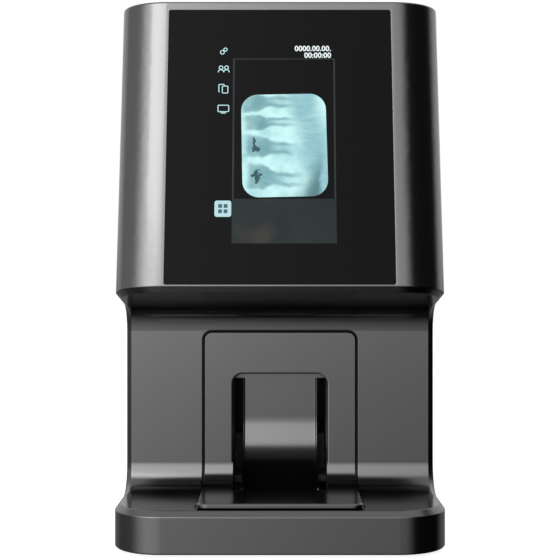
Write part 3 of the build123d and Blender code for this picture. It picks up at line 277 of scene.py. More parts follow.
def paint_with_groove_shade():
    """The casing's paint, with painted shade: the pocket and groove round the chute front are near black.
    """
    finish = casing_paint("housing_paint", edge_round)
    _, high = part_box("front_insert")
    x, y, z = finish.axes()
    beside = (x.size() - (high.x - groove_corner)).or_more(0)
    above = (z - (high.z - groove_corner)).or_more(0)
    reach = beside * beside + above * above
    edge = groove_corner + groove
    outside = reach.maths("SQRT", reach).step(edge, edge + mask_soft)
    # Inside the groove and the pocket, the paint gives way to painted shade.
    start = neck_y - pocket_depth
    pocket = (1 - outside) * y.step(start, start + 2 * mask_soft)
    paint = finish.mix(finish.noise(flake_grain, 1.0), flake_dark, flake_light)
    finish.set("Base Color", finish.mix(pocket, paint, painted_groove_shade))
    return finish


finishes["casing"] = casing_paint("casing_paint", edge_round)
insert_paint = casing_paint("insert_paint", crisp_edge)
housing_paint = paint_with_groove_shade()
print("casing paints mixed")

# %% [markdown]
# ## Screen glass
# The cover glass is printed black from behind and polished in front. The printing hides all but the
# lit parts of the display, so the glass can be a deep black gloss with next to no texture: only
# a breath of fingerprint smudge changes its roughness.

# %% Screen glass


def screen_glass():
    finish = Finish("screen_glass", (0.002, 0.002, 0.0022), 0.04, 0.0, Specular_IOR_Level=0.09)
    smudge = finish.noise(0.03, 4.0)
    finish.set("Roughness", 0.03 + smudge.step(0.45, 0.8) * 0.06)
    return finish


finishes["screen_glass"] = screen_glass()
print("glass ready")

# %% [markdown]
# ## Plastics, rubber and boards
# Moulded parts differ mostly in grain. Spark-eroded moulds leave a fine pebble on black plastic,
# rubber is duller and dustier, and circuit boards show their tracks through green lacquer.

# %% Plastics, rubber and boards
lane_width, track_start, track_edge = 0.9 * MM, 0.65 * MM, 0.08 * MM
runs_per_metre = 90


def moulded(name, colour, roughness, grain, depth, gloss=0.5):
    """Plastic or rubber with a pebbled skin."""
    finish = Finish(name, colour, roughness, Specular_IOR_Level=gloss)
    pebble = finish.noise(grain, 3.0)
    lighter = tuple(min(1.0, part * 1.5 + 0.004) for part in colour)
    finish.set("Base Color", finish.mix(pebble.step(0.3, 0.8), colour, lighter))
    finish.set("Roughness", roughness - 0.06 + pebble * 0.12)
    finish.relief(pebble, depth)
    return finish


def board_lacquer():
    """Green lacquer over copper tracks that run in two directions."""
    finish = Finish("board_lacquer", (0.012, 0.11, 0.05), 0.38)
    x, _, z = finish.axes()
    tracks = []
    for along, across in ((x, z), (z, x)):
        lane = across.maths("PINGPONG", across, lane_width)
        length = {"W": along * runs_per_metre}
        run = finish.node("ShaderNodeTexNoise", {"noise_dimensions": "1D"}, length)
        tracks.append((lane - track_start).step(0, track_edge) * run.step(0.5, 0.52))
    copper = tracks[0].or_more(tracks[1])
    finish.set("Base Color", finish.mix(copper, (0.012, 0.1, 0.045), (0.05, 0.22, 0.08)))
    finish.relief(copper, 0.00004)
    return finish


finishes["dark_plastic"] = moulded("dark_plastic", (0.012, 0.012, 0.013), 0.5, 0.0006, 0.00001, 0.25)
finishes["rubber"] = moulded("foot_rubber", (0.015, 0.015, 0.015), 0.75, 0.0004, 0.00002)
finishes["roller_rubber"] = moulded("roller_rubber", (0.09, 0.09, 0.095), 0.7, 0.0003, 0.00001)
finishes["component"] = moulded("component_black", (0.03, 0.03, 0.032), 0.45, 0.0003, 0.000005)
finishes["motor_can"] = moulded("motor_lacquer", (0.02, 0.02, 0.022), 0.3, 0.001, 0.000004)
finishes["circuit_board"] = board_lacquer()
finishes["screen_panel"] = moulded("panel_black", (0.02, 0.03, 0.035), 0.15, 0.002, 0.0)
print("moulded finishes:", len(finishes))

# %% [markdown]
# ## Metals
# A sheet or a turned part shows how it was made: sheet is brushed along its length, zinc plate is
# spangled, and turned brass carries rings round its axis. A stretched noise gives the brushing, and
# a cell pattern gives the spangle.

# %% Metals
spangles_per_metre = 160.0


def brushed(name, colour, roughness, stretch):
    """Metal with fine lines along the axis where stretch is small."""
    finish = Finish(name, colour, roughness, 1.0)
    lines = finish.noise(0.0004, 2.0, stretch)
    darker = tuple(part * 0.82 for part in colour)
    finish.set("Base Color", finish.mix(lines, darker, colour))
    finish.set("Roughness", roughness - 0.08 + lines * 0.16)
    finish.relief(lines, 0.000006)
    return finish


def zinc_plate():
    """Zinc-plated sheet with its pale spangle."""
    finish = Finish("zinc_plate", (0.6, 0.61, 0.62), 0.35, 1.0)
    spangle = {"Vector": finish.place(), "Scale": spangles_per_metre}
    cells = finish.node("ShaderNodeTexVoronoi", inputs=spangle, output="Color")
    level = finish.node("ShaderNodeRGBToBW", inputs={"Color": cells})
    finish.set("Base Color", finish.mix(level, (0.48, 0.49, 0.5), (0.68, 0.69, 0.7)))
    finish.set("Roughness", 0.26 + level * 0.2)
    return finish


finishes["steel"] = brushed("bright_steel", (0.58, 0.58, 0.59), 0.26, (1, 1, 12))
finishes["aluminium"] = brushed("machined_aluminium", (0.72, 0.72, 0.73), 0.3, (0.06, 1, 1))
finishes["brass"] = brushed("turned_brass", (0.75, 0.55, 0.26), 0.25, (12, 1, 1))
finishes["nickel"] = brushed("nickel_plate", (0.74, 0.73, 0.7), 0.16, (1, 1, 1))
finishes["zinc_sheet"] = zinc_plate()
print("metals ready")

# %% [markdown]
# ## Optics
# The lens and the photomultiplier's window are coated glass, the light guide is clear acrylic with
# polished edges, and the small scanning mirror is silvered on its front.

# %% Optics


def clear(name, tint, roughness, bend):
    """A clear piece with faint streaks from polishing."""
    finish = Finish(name, tint, roughness, 0.0, Transmission_Weight=0.9, IOR=bend)
    streaks = finish.noise(0.004, 3.0, (1, 6, 1))
    finish.set("Roughness", roughness + streaks * 0.03)
    return finish


def mirror_silver():
    finish = Finish("mirror_silver", (0.92, 0.92, 0.92), 0.02, 1.0)
    dust = finish.noise(0.0008, 4.0)
    finish.set("Roughness", 0.01 + dust.step(0.6, 0.9) * 0.15)
    return finish


def lamp_bodies():
    """White lamp bodies, each with a pale yellow phosphor."""
    finish = Finish("lamp_bodies", (0.85, 0.84, 0.76), 0.35)
    spots = finish.noise(0.002, 1.0)
    finish.set("Base Color", finish.mix(spots, (0.86, 0.86, 0.82), (0.82, 0.76, 0.5)))
    return finish


finishes["optical_glass"] = clear("coated_glass", (0.82, 0.9, 0.93), 0.02, 1.52)
finishes["acrylic"] = clear("clear_acrylic", (0.86, 0.93, 0.96), 0.05, 1.49)
finishes["mirror"] = mirror_silver()
finishes["erase_lamp"] = lamp_bodies()
print("optics ready")

# %% [markdown]
# ## Every solid gets its finish
# The record names a slot for each node, and each slot has one finish. The chute front and the
# housing come last, because each has a paint of its own.

# %% Give the solids their finishes
slots = {row["node"]: row["material_slot"] for row in frame["record"]["subparts"]}
for name, slot in slots.items():
    paint_node(name, finishes[slot])
paint_node("front_insert", insert_paint)
paint_node("front_housing", housing_paint)
print("finished nodes:", len(slots))

# %% [markdown]
# ## What the screen shows
# The display lies behind the glass, and only its lit parts show. Each lit part is a thin sheet just
# on the glass. They are drawn flat, with x across and y up the glass, and then laid on it. The
# glass leans back by the face's angle, so its frame is worked out once from its box.

# %% The leaning frame of the glass
face_tilt = math.radians(12)
glass_thickness = 1.5 * MM
film = 0.04 * MM

glass_low, glass_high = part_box("front_glass")
glass_rise = glass_high.z - glass_low.z - glass_thickness * math.sin(face_tilt)
glass_span = glass_rise / math.cos(face_tilt)
glass_width = glass_high.x - glass_low.x
glass_foot = Vector((0, glass_low.y, glass_high.z - glass_span * math.cos(face_tilt)))
glass_frame = Matrix.Translation(glass_foot) @ Matrix.Rotation(math.pi / 2 - face_tilt, 4, "X")
print("glass is", round(glass_span / MM, 2), "mm high and", round(glass_width / MM, 2), "wide")


def select_only(piece):
    bpy.ops.object.select_all(action="DESELECT")
    piece.select_set(True)
    bpy.context.view_layer.objects.active = piece


def settle(piece):
    """Puts the piece's place, turn and scale into its mesh."""
    select_only(piece)
    bpy.ops.object.transform_apply(location=True, rotation=True, scale=True)


def register(piece, name, body, finish):
    """Names a new piece, lets it ride on a body and gives it its finish."""
    piece.name = name
    piece.data.name = name
    piece.data.materials.clear()
    piece.data.materials.append(finish.material)
    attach(piece, body)
    print("made", name, "with", len(piece.data.polygons), "faces")
    return piece


def flat_card(x, y, across, up, corner=0.0, turn=0.0):
    """A flat card with rounded corners, in millimetres, drawn round x, y."""
    bpy.ops.mesh.primitive_plane_add(size=1, location=(x * MM, y * MM, 0))
    card = bpy.context.object
    card.scale = (across * MM, up * MM, 1)
    card.rotation_euler.z = math.radians(turn)
    settle(card)
    if corner:
        bpy.ops.object.mode_set(mode="EDIT")
        bpy.ops.mesh.select_all(action="SELECT")
        bpy.ops.mesh.bevel(offset=corner * MM, segments=8, affect="VERTICES")
        bpy.ops.object.mode_set(mode="OBJECT")
    return card


def thicken(piece, depth):
    """Raises a flat piece into a sheet of that depth."""
    select_only(piece)
    bpy.ops.object.mode_set(mode="EDIT")
    bpy.ops.mesh.select_all(action="SELECT")
    bpy.ops.mesh.extrude_region_move(TRANSFORM_OT_translate={"value": (0, 0, depth)})
    bpy.ops.mesh.select_all(action="SELECT")
    bpy.ops.mesh.normals_make_consistent(inside=False)
    bpy.ops.object.mode_set(mode="OBJECT")


def join(pieces):
    """Joins several drawn shapes into one piece."""
    bpy.ops.object.select_all(action="DESELECT")
    for piece in pieces:
        piece.select_set(True)
    bpy.context.view_layer.objects.active = pieces[0]
    if len(pieces) > 1:
        bpy.ops.object.join()
    return bpy.context.object


def lay_on_glass(piece, lift=0.0):
    """Moves a flat drawing from the drawing plane to the glass's front face."""
    piece.matrix_world = glass_frame @ Matrix.Translation((0, 0, lift)) @ piece.matrix_world
    settle(piece)


# %% [markdown]
# ## Line drawings
# Icons are drawn with strokes. A primitive's edges become a curve with a round bevel, which gives
# an even stroke round every bend, and the curve becomes a mesh again.

# %% Strokes


def stroke(piece, width):
    """Turns the edges of a mesh into strokes of that width, flattened to a film."""
    select_only(piece)
    bpy.ops.object.convert(target="CURVE")
    piece = bpy.context.object
    piece.data.dimensions = "3D"
    piece.data.bevel_depth = width * MM / 2
    piece.data.bevel_resolution = 1
    bpy.ops.object.convert(target="MESH")
    piece = bpy.context.object
    piece.scale.z = film / (width * MM)
    settle(piece)
    return piece


def keep_edges(piece, keep):
    """Deletes the faces of a flat mesh and the points that keep doesn't want."""
    select_only(piece)
    bpy.ops.object.mode_set(mode="EDIT")
    bpy.ops.mesh.select_all(action="SELECT")
    bpy.ops.mesh.delete(type="ONLY_FACE")
    bpy.ops.mesh.select_all(action="DESELECT")
    bpy.ops.object.mode_set(mode="OBJECT")
    for point in piece.data.vertices:
        point.select = not keep(point.co)
    bpy.ops.object.mode_set(mode="EDIT")
    bpy.ops.mesh.delete(type="VERT")
    bpy.ops.object.mode_set(mode="OBJECT")
    return piece


def everything(point):
    return True


def frame_stroke(x, y, across, up, corner, width, keep=everything):
    """A rounded rectangle as a stroke."""
    return stroke(keep_edges(flat_card(x, y, across, up, corner), keep), width)


def ring_stroke(x, y, radius, width, keep=everything):
    """A circle, or the part of one that keep wants, as a stroke."""
    bpy.ops.mesh.primitive_circle_add(
        vertices=32, radius=radius * MM, fill_type="NGON", location=(x * MM, y * MM, 0)
    )
    ring = bpy.context.object
    settle(ring)
    return stroke(keep_edges(ring, keep), width)


print("strokes ready")

# %% [markdown]
# ## Icons
# Four plain icons stand in a column left of the picture: linked rings, two people, two pages and a
# monitor. Their places were read off the photograph and turned into millimetres on the glass.

# %% Draw the icons
line = 0.45
icon_x = -27.45
links_y = 116.7
people_y = 107.3
pages_y = 97.0
monitor_y = 86.6
person_step = 1.35
unlit_black = (0.004, 0.005, 0.005)


def links_icon():
    upper = ring_stroke(icon_x + 0.75, links_y + 0.7, 0.82, line)
    lower = ring_stroke(icon_x - 0.75, links_y - 0.7, 0.95, line)
    return [upper, lower]


def person(x):
    head = ring_stroke(x, people_y + 0.7, 0.9, line)
    shoulders = ring_stroke(x, people_y - 1.7, 1.35, line, lambda p: p.y > (people_y - 1.75) * MM)
    return [head, shoulders]


def pages_icon():
    back_x, front_x = icon_x - 0.95, icon_x + 0.75
    back = frame_stroke(back_x, pages_y + 0.4, 2.7, 3.9, 0.45, line,
                        lambda p: p.x < (icon_x - 0.9) * MM or p.y > (pages_y + 1.8) * MM)
    front = frame_stroke(front_x, pages_y - 0.3, 2.7, 3.6, 0.45, line)
    return [back, front]


def monitor_icon():
    screen = frame_stroke(icon_x, monitor_y + 0.4, 5.2, 3.3, 0.45, line)
    foot = flat_card(icon_x, monitor_y - 1.9, 2.5, 0.5, 0.2)
    thicken(foot, film)
    return [screen, foot]


def lit(name, first, second, grain=0.004):
    """A lit part of the display, whose light wavers a little between two colours."""
    finish = Finish(name, unlit_black, 0.05, Emission_Strength=1.0, Specular_IOR_Level=0.1)
    finish.set("Emission Color", finish.mix(finish.noise(grain), first, second))
    return finish


icon_light = lit("icon_light", (0.46, 0.78, 0.8), (0.66, 0.94, 0.95))
drawings = links_icon()
drawings += person(icon_x - person_step) + person(icon_x + person_step)
drawings += pages_icon() + monitor_icon()
icons = join(drawings)
lay_on_glass(icons, film)
register(icons, "screen_icons", "scanner", icon_light)

# %% [markdown]
# ## Date and time
# The upper right corner shows a date and a time as plain zeros. Text objects give them, right
# aligned, and they become meshes before they are laid on the glass.

# %% Draw the digits
digits_right = 25.0
date_y = 116.7
time_y = 113.2
digit_height = 3.75
digit_spacing = 1.02
digit_weight = 0.1 * MM


def digits(text, y):
    bpy.ops.object.text_add(location=(digits_right * MM, y * MM, 0))
    words = bpy.context.object
    words.data.body = text
    words.data.align_x = "RIGHT"
    words.data.size = digit_height * MM
    words.data.space_character = digit_spacing
    words.data.extrude = film / 2
    words.data.offset = digit_weight
    bpy.ops.object.convert(target="MESH")
    settle(bpy.context.object)
    return bpy.context.object


digit_light = lit("digit_light", (0.8, 0.95, 0.97), (1.0, 1.0, 1.0))
clock = join([digits("0000.00.00.", date_y), digits("00:00:00", time_y)])
lay_on_glass(clock, film)
register(clock, "screen_digits", "scanner", digit_light)

# %% [markdown]
# ## Viewport and lower panel
# A faint frame runs round the picture's black field, and a dim grey-green panel lies below it.

# %% Draw the viewport
field_left, field_right = -22.5, 26.4
field_top, field_foot = 112.5, 41.6
panel_foot = 19.7
field_x = (field_left + field_right) / 2
side_line, top_line = 0.8, 0.5
panel_cool, panel_pale, panel_warm = (0.01, 0.017, 0.019), (0.024, 0.032, 0.033), (0.046, 0.042, 0.036)


def faint_frame():
    rows = []
    for x in (field_left, field_right):
        rows.append(flat_card(x, (field_top + panel_foot) / 2, side_line, field_top - panel_foot))
    rows.append(flat_card(field_x, field_top, field_right - field_left, top_line))
    return rows


frame_light = lit("frame_light", (0.02, 0.025, 0.027), (0.038, 0.045, 0.048), 0.02)
bars = faint_frame()
for bar in bars:
    thicken(bar, film)
frame_lines = join(bars)
lay_on_glass(frame_lines, film)
register(frame_lines, "viewport_frame", "scanner", frame_light)

panel_light = lit("panel_light", panel_cool, panel_pale)
cool = panel_light.mix(panel_light.noise(0.014), panel_cool, panel_pale)
blotch = panel_light.noise(0.016, 0.0).step(0.5, 0.75)
panel_light.set("Emission Color", panel_light.mix(blotch, cool, panel_warm))
panel = flat_card(field_x, (field_foot + panel_foot) / 2, field_right - field_left,
                  field_foot - panel_foot)
thicken(panel, film)
lay_on_glass(panel, film)
register(panel, "lower_panel", "scanner", panel_light)

# %% [markdown]
# ## The button on the screen
# A pale rounded square with a plain symbol of four tiles, drawn here without any word on it.

# %% Draw the screen button
button_x, button_y = -27.2, 36.7
button_size = 8.0
button_corner = 1.2
tile, tile_corner, tile_step = 1.9, 0.35, 1.3

button_light = lit("button_light", (0.44, 0.68, 0.72), (0.58, 0.82, 0.85), 0.01)
button = flat_card(button_x, button_y, button_size, button_size, button_corner)
thicken(button, film)
lay_on_glass(button, film)
register(button, "screen_button", "scanner", button_light)

steps = (-tile_step, tile_step)
tiles = [flat_card(button_x + dx, button_y + dy, tile, tile, tile_corner) for dx in steps for dy in steps]
for part in tiles:
    thicken(part, film)
symbol_dark = lit("symbol_dark", (0.05, 0.13, 0.15), (0.08, 0.18, 0.2))
symbol = join(tiles)
lay_on_glass(symbol, 2.5 * film)
register(symbol, "button_symbol", "scanner", symbol_dark)

# %% [markdown]
# ## The radiograph
# The display shows a scanned plate: a rounded card in pale cyan with the soft shadows of teeth.
# The card is one sheet, and its finish draws the picture. Each tooth has an oval crown and two
# streaked roots along its own axis, and noise bends their outlines a little. The layout is a
# made-up one. A tooth's row gives its start, height, lean, length and half width, and a filling's
# row its middle and its two radii, all in millimetres round the card's middle.

# %% Draw the radiograph
picture_x, picture_y = 2.1, 68.4
picture_width, picture_height = 41.0, 51.7
picture_corner = 8.0
picture_turn = 1.2
bone_light, bone_grey = (0.62, 0.95, 0.95), (0.36, 0.68, 0.72)
crown_teal, root_teal = (0.16, 0.36, 0.39), (0.21, 0.46, 0.5)
filling_dark = (0.03, 0.075, 0.09)
soft_grey, deep_grey = (0.25, 0.5, 0.56), (0.08, 0.19, 0.22)
tooth_rows = ((-21.0, 21.6, 0.02, 27, 5.6), (-19.4, 11.2, 0.02, 25, 4.4),
              (-18.8, -0.6, -0.06, 25, 6.2), (-18.2, -15.2, -0.1, 27, 7.0))
filling_rows = ((-14.8, 1.6, 1.1, 2.6), (-13.4, -1.8, 1.9, 1.7),
                (-13.0, -15.6, 1.2, 3.6), (-13.2, -15.0, 2.6, 0.9))
filling_soft = 0.12


def spot(x, y, centre_x, centre_y, radius_x, radius_y, soft):
    """1 inside an ellipse and 0 outside."""
    x, y = (x - centre_x) / radius_x, (y - centre_y) / radius_y
    return 1 - (x * x + y * y).step(1 - soft, 1 + soft)


def tooth(across, up, start, middle, lean, length, half):
    """How far a point lies in a tooth's crown, and how far in its two roots."""
    along = across - start
    off = (up - middle - along * lean).size()
    waist = 1 - along.step(7, 13) * 0.42
    side = off / (waist * half)
    crown = (1 - side.step(0.7, 1.05)) * along.step(-1.2, 2.4) * (1 - along.step(9, 15) * 0.55)
    tail = 1 - along.step(0.7 * length, 1.1 * length)
    fork = (side - 0.6).size().step(0.1, 0.45)
    roots = (1 - fork * along.step(0.4 * length, 0.7 * length)) * (1 - side.step(0.5, 1.1)) * tail
    return crown * tail, roots * along.step(4, 10)


def most(parts):
    whole = parts[0]
    for part in parts[1:]:
        whole = whole.or_more(part)
    return whole


def radiograph():
    finish = lit("radiograph", bone_grey, bone_light)
    x, _, z = finish.axes()
    bend = finish.noise(0.007, 2.0) - 0.5
    fray = finish.noise(0.0017, 1.0) - 0.5
    across = (x - picture_x * MM) / MM + bend * 4.2
    up = ((z - glass_foot.z) / math.cos(face_tilt) - picture_y * MM) / MM + bend * 3.0
    teeth = [tooth(across, up, *row) for row in tooth_rows]
    streaks = finish.noise(0.0018, 3.0, (0.2, 1, 1))
    cloud = finish.noise(0.009, 3.0)
    picture = finish.mix(cloud.step(0.36, 0.68) * 0.75, bone_light, bone_grey)
    roots = most([part for _, part in teeth]) * (0.25 + streaks * 1.1)
    picture = finish.mix(roots, picture, root_teal)
    crowns = most([part for part, _ in teeth]) * (0.3 + cloud * 0.95)
    picture = finish.mix(crowns, picture, crown_teal)
    band = (across + up * 0.25).within(8, 21, 4.5) * (0.45 + streaks * 0.7)
    picture = finish.mix(band, picture, soft_grey)
    corner = (across * 0.9 - up * 0.5).step(14, 25) * (1 - (across - up * 0.04).step(16.5, 19.5))
    picture = finish.mix(corner * 0.9, picture, deep_grey)
    ragged_x, ragged_y = across + fray * 3.4, up + fray * 2.6
    fillings = most([spot(ragged_x, ragged_y, *row, filling_soft) for row in filling_rows])
    finish.set("Emission Color", finish.mix(fillings * 0.92, picture, filling_dark))
    return finish


picture = flat_card(picture_x, picture_y, picture_width, picture_height, picture_corner, picture_turn)
thicken(picture, film)
lay_on_glass(picture, 2 * film)
register(picture, "radiograph", "scanner", radiograph())

# %% [markdown]
# ## Screws
# The solids only carry the screws' outer shapes. Here each screw gets a cross recess, and the rear
# ones also a rounded rim. One screw is modelled at the origin with its head up, and copies of it
# are turned into the places of the solids, which are found by taking a copy of the node apart.

# %% Find the loose solids of a node


def loose_boxes(name):
    """The box of each separate solid in a node."""
    select_only(nodes[name])
    bpy.ops.object.duplicate()
    bpy.ops.object.mode_set(mode="EDIT")
    bpy.ops.mesh.select_all(action="SELECT")
    bpy.ops.mesh.remove_doubles(threshold=0.001 * MM)
    bpy.ops.mesh.separate(type="LOOSE")
    bpy.ops.object.mode_set(mode="OBJECT")
    boxes = []
    for part in bpy.context.selected_objects:
        points = [point.co for point in part.data.vertices]
        boxes.append([Vector([pick(p[i] for p in points) for i in range(3)]) for pick in (min, max)])
    bpy.ops.object.delete()
    return boxes


def rod(radius, top_radius, low, high, sides=40):
    """A cylinder or cone along Z, in millimetres."""
    bpy.ops.mesh.primitive_cone_add(
        vertices=sides, radius1=radius * MM, radius2=top_radius * MM, depth=(high - low) * MM,
        location=(0, 0, (low + high) / 2 * MM)
    )
    settle(bpy.context.object)
    return bpy.context.object


def brick(across, along, up, x=0.0, y=0.0, z=0.0, turn=0.0):
    """A box round x, y, z, in millimetres."""
    bpy.ops.mesh.primitive_cube_add(size=1, location=(x * MM, y * MM, z * MM))
    box = bpy.context.object
    box.scale = (across * MM, along * MM, up * MM)
    box.rotation_euler.z = math.radians(turn)
    settle(box)
    return box


def modify(piece, kind, **settings):
    """Adds a modifier and applies it."""
    select_only(piece)
    bpy.ops.object.modifier_add(type=kind)
    modifier = piece.modifiers[-1]
    for name, value in settings.items():
        setattr(modifier, name, value)
    bpy.ops.object.modifier_apply(modifier=modifier.name)


def crossed(head, reach, blade, depth):
    """Cuts a cross recess into a head whose top is at zero height."""
    for turn in (0, 90):
        cutter = brick(reach, blade, 2 * depth, turn=turn)
        modify(head, "BOOLEAN", operation="DIFFERENCE", object=cutter)
        select_only(cutter)
        bpy.ops.object.delete()
    return head


def place_copies(first, places):
    """Copies a piece into each place, each copy with a mesh of its own, and joins them."""
    made = []
    for place in places:
        select_only(first)
        bpy.ops.object.duplicate()
        copy = bpy.context.object
        copy.matrix_world = place
        settle(copy)
        made.append(copy)
    select_only(first)
    bpy.ops.object.delete()
    return join(made)


print("screw helpers ready")

# %% [markdown]
# A rear screw has a pan head with a rounded rim. A bottom screw has a sunk head, a cone that is
# widest at its top.

# %% Rear and bottom screws
head_radius, head_height = 3.0, 1.4
shank_radius = 1.5
screw_length, sunk_length = 9.9, 10
sunk_height = 1.5
rim_round = 0.45
cross_blade, cross_depth = 0.7, 0.9
pan_cross, sunk_cross = 3.3, 3.1
shank_overlap = 0.1

pan_head = rod(head_radius, head_radius, -head_height, 0)
modify(pan_head, "BEVEL", width=rim_round * MM, segments=3, limit_method="ANGLE")
crossed(pan_head, pan_cross, cross_blade, cross_depth)
pan_shank = rod(shank_radius, shank_radius, -screw_length, -head_height + shank_overlap)
pan_screw = join([pan_head, pan_shank])
outwards = Matrix.Rotation(-math.pi / 2, 4, "X")
rear_places = [Matrix.Translation(((low.x + high.x) / 2, high.y, (low.z + high.z) / 2)) @ outwards
               for low, high in loose_boxes("rear_screws")]
rear_screws = place_copies(pan_screw, rear_places)
register(rear_screws, "rear_screws_crossed", "scanner", finishes["steel"])
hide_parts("rear_screws")

sunk_cone = rod(shank_radius, head_radius, -sunk_height, 0)
sunk_head = crossed(sunk_cone, sunk_cross, cross_blade, cross_depth)
sunk_shank = rod(shank_radius, shank_radius, -sunk_length, -sunk_height + shank_overlap)
sunk_screw = join([sunk_head, sunk_shank])
downwards = Matrix.Rotation(math.pi, 4, "X")
bottom_places = [Matrix.Translation(((low.x + high.x) / 2, (low.y + high.y) / 2, low.z)) @ downwards
                 for low, high in loose_boxes("bottom_screws")]
bottom_screws = place_copies(sunk_screw, bottom_places)
register(bottom_screws, "bottom_screws_crossed", "scanner", finishes["steel"])
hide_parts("bottom_screws")

# %% [markdown]
# ## Rear panel
# The power switch carries the plain on and off marks, and the network socket gets its contacts.
# The marks lie on the rocker's slanted halves, so a ray towards each half finds its place and slant.

# %% Marks and contacts
switch_low, switch_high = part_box("power_switch")
switch_x = (switch_low.x + switch_high.x) / 2
switch_z = (switch_low.z + switch_high.z) / 2
mark_reach = 5.4 * MM
ray_start = 10 * MM


def on_rocker(mark, rise):
    """Lays a flat mark on the rocker, rise above its middle."""
    start = Vector((switch_x, switch_high.y + ray_start, switch_z + rise))
    _, spot_there, slant, _ = nodes["power_switch"].ray_cast(start, Vector((0, -1, 0)))
    turn = slant.to_track_quat("Z", "Y").to_matrix().to_4x4()
    mark.matrix_world = Matrix.Translation(spot_there) @ turn @ mark.matrix_world
    settle(mark)
    return mark


def printed_white():
    finish = Finish("mark_white", (0.7, 0.7, 0.68), 0.5)
    finish.set("Roughness", 0.42 + finish.noise(0.0006) * 0.16)
    return finish


on_mark = flat_card(0, 0, 0.7, 3.4)
thicken(on_mark, film)
marks = join([on_rocker(on_mark, mark_reach), on_rocker(ring_stroke(0, 0, 1.5, 0.6), -mark_reach)])
register(marks, "switch_marks", "rocker", printed_white())

sockets = loose_boxes("data_sockets")
wide_socket = max(sockets, key=lambda box: box[0].x)
socket_wall = 1.2


def socket_shell():
    """Nickel shells with black plastic inside."""
    finish = brushed("socket_shell", (0.74, 0.73, 0.7), 0.2, (1, 1, 1))
    x, y, z = finish.axes()
    rim, soft = (socket_wall - 0.1) * MM, 0.05 * MM
    inside = most([x.within(low.x + rim, high.x - rim, soft) * z.within(low.z + rim, high.z - rim, soft)
                   for low, high in sockets])
    inside = inside * (1 - y.step(wide_socket[1].y - 0.7 * MM, wide_socket[1].y - 0.5 * MM))
    shade = finish.mix(finish.noise(0.0004), (0.6, 0.59, 0.57), (0.74, 0.73, 0.7))
    finish.set("Base Color", finish.mix(inside, shade, (0.01, 0.01, 0.011)))
    finish.set("Metallic", 1 - inside)
    finish.set("Roughness", 0.2 + inside * 0.3)
    return finish


paint_node("data_sockets", socket_shell())
contact_pitch, contact_count = 1.02, 8
contact_width, contact_length, contact_thickness = 0.5, 6.5, 0.3
contact_depth, contact_drop = 5.5, 0.4
io_face = wide_socket[1].y / MM
wide_x = (wide_socket[0].x + wide_socket[1].x) / 2 / MM
wide_z = wide_socket[1].z / MM - socket_wall - contact_drop
first_x = wide_x - (contact_count - 1) / 2 * contact_pitch
contacts = [brick(contact_width, contact_length, contact_thickness,
                  first_x + index * contact_pitch, io_face - contact_depth, wide_z)
            for index in range(contact_count)]
gold = brushed("contact_gold", (0.86, 0.64, 0.27), 0.3, (1, 0.1, 1))
register(join(contacts), "network_contacts", "scanner", gold)

# %% [markdown]
# ## Floor, backdrop and light
# The scanner stands on a pale floor in front of a white backdrop. The room is brightest at the
# front left, which gives the silver sheen on the head's left corner and the band along the foot of
# the neck, and a soft lamp stands there too. The room on the right stays dark, which draws the
# black edge down the right corners. Each stretch of the room rises and falls between two angles.

# %% The room round the scanner
key_azimuth = -31
room_dim = 0.02
left_wall = 0.5
ceiling = 0.6
front_rise, front_fall, front_light = (-84, -52), (16, 44), 1.1
key_rise = (-72, key_azimuth - 8)
key_fall = (key_azimuth + 6, 12)
key_light = 1.75
left_from, left_to, left_soft = -125, -60, 12
backdrop_rise = (104, 134)
below_horizon = 0.4
near_fall, under_fall = 0.28, 0.62
near_drop, under_drop = (1, 14), (5, 85)
horizon, ceiling_rise = (-2, 6), (46, 58)
degrees_per_radian = 57.3


def degrees(across, ahead):
    """The azimuth of a direction: 0 behind the camera, -90 left, 180 the backdrop."""
    return across.maths("ARCTAN2", across, ahead) * degrees_per_radian


def room_light(azimuth):
    """How bright the room is at eye level, by azimuth."""
    front = azimuth.step(*front_rise) * (1 - azimuth.step(*front_fall)) * front_light
    key = azimuth.step(*key_rise) * (1 - azimuth.step(*key_fall)) * key_light
    left = azimuth.within(left_from, left_to, left_soft) * left_wall
    backdrop = azimuth.size().step(*backdrop_rise)
    return front + key + left.or_more(backdrop) + room_dim


print("room shaped, with its key at", key_azimuth, "degrees")

# %% [markdown]
# The floor shows to the camera alone. Every other ray passes through it, so what the casing mirrors
# below the horizon comes from the room.

# %% Floor
floor_paint = (0.45, 0.45, 0.45)
floor_lift = 0.86


def floor_finish():
    """White paint with the scanner's shadow, for the camera alone; the room lights all the rest."""
    material = bpy.data.materials.new("floor_white")
    material.use_nodes = True
    board = Board(material.node_tree)
    paint = board.node("ShaderNodeBsdfDiffuse", inputs={"Color": floor_paint})
    lift = board.node("ShaderNodeEmission", inputs={"Color": (floor_lift,) * 3})
    direct = board.node("ShaderNodeAddShader", inputs={0: paint, 1: lift})
    open_floor = board.node("ShaderNodeBsdfTransparent", inputs={"Color": (1, 1, 1)})
    rays = board.node("ShaderNodeLightPath").socket.node.outputs
    seen = Value(board, rays["Is Camera Ray"])
    surface = board.node("ShaderNodeMixShader", inputs={0: seen, 1: open_floor, 2: direct})
    board.node("ShaderNodeOutputMaterial", inputs={"Surface": surface})
    return material


bpy.ops.mesh.primitive_plane_add(size=6, location=(0, 0, 0))
floor = bpy.context.object
floor.name = "floor"
floor.data.materials.append(floor_finish())
print("floor laid")

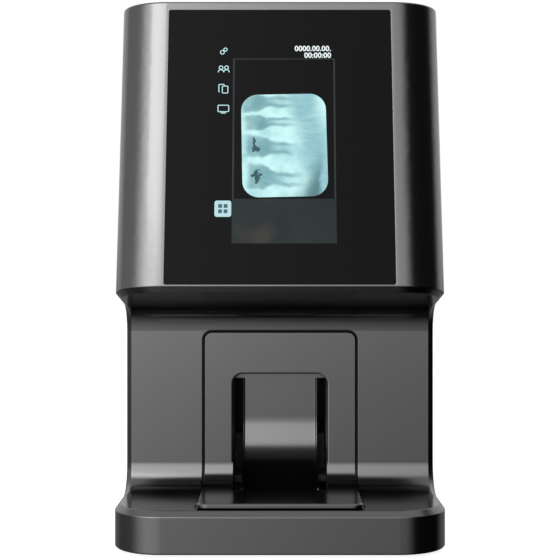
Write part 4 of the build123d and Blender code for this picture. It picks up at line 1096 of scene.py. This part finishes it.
# %% [markdown]
# A polished metal shows the room, so the room is drawn in the world's shader as a function of
# azimuth and elevation. Only the camera sees plain white everywhere. All other rays see the room,
# which is white behind the scanner, so that its edges shine there as they do in the photograph.

# %% World
world = bpy.data.worlds.new("studio")
bpy.context.scene.world = world
world.use_nodes = True
sky = Board(world.node_tree)
across, ahead, up = sky.split(sky.node("ShaderNodeTexCoord", output="Generated"))
elevation = up.maths("ARCSINE", up) * degrees_per_radian
walls = room_light(degrees(across, 0 - ahead))
drop = 0 - elevation
floor_level = 1 - drop.step(*near_drop) * near_fall - drop.step(*under_drop) * under_fall
walls = walls * sky.blend(elevation.step(*horizon), floor_level * below_horizon, 1.0)
studio = sky.blend(elevation.step(*ceiling_rise), walls, ceiling)
rays = sky.node("ShaderNodeLightPath").socket.node.outputs
strength = sky.blend(Value(sky, rays["Is Camera Ray"]), studio, 1.0)
background = sky.node("ShaderNodeBackground", inputs={"Color": (1, 1, 1), "Strength": strength})
sky.node("ShaderNodeOutputWorld", inputs={"Surface": background})
print("studio drawn")

# %% [markdown]
# One soft lamp stands high at the front left, where the room is brightest.

# %% Lamps
lamp_target = Vector((0, front_y / 2, 0.12))


def lamp(name, azimuth, elevation, distance, width, height, watts):
    """A soft lamp that looks at the scanner; azimuth 0 is behind the camera and -90 is left."""
    turn, rise = math.radians(azimuth), math.radians(elevation)
    away = Vector((math.sin(turn) * math.cos(rise), -math.cos(turn) * math.cos(rise), math.sin(rise)))
    bpy.ops.object.light_add(type="AREA", location=lamp_target + away * distance)
    made = bpy.context.object
    made.name = name
    made.rotation_euler = away.to_track_quat("Z", "Y").to_euler()
    made.data.shape = "RECTANGLE"
    made.data.size = width
    made.data.size_y = height
    made.data.energy = watts
    return made


lamp("key_left", key_azimuth, elevation=42, distance=1.1, width=0.5, height=0.7, watts=1.5)
print("lamps set")

# %% [markdown]
# ## View transform
# Last, the script sets the view transform to Standard.

# %% Finish
bpy.context.scene.view_settings.view_transform = "Standard"
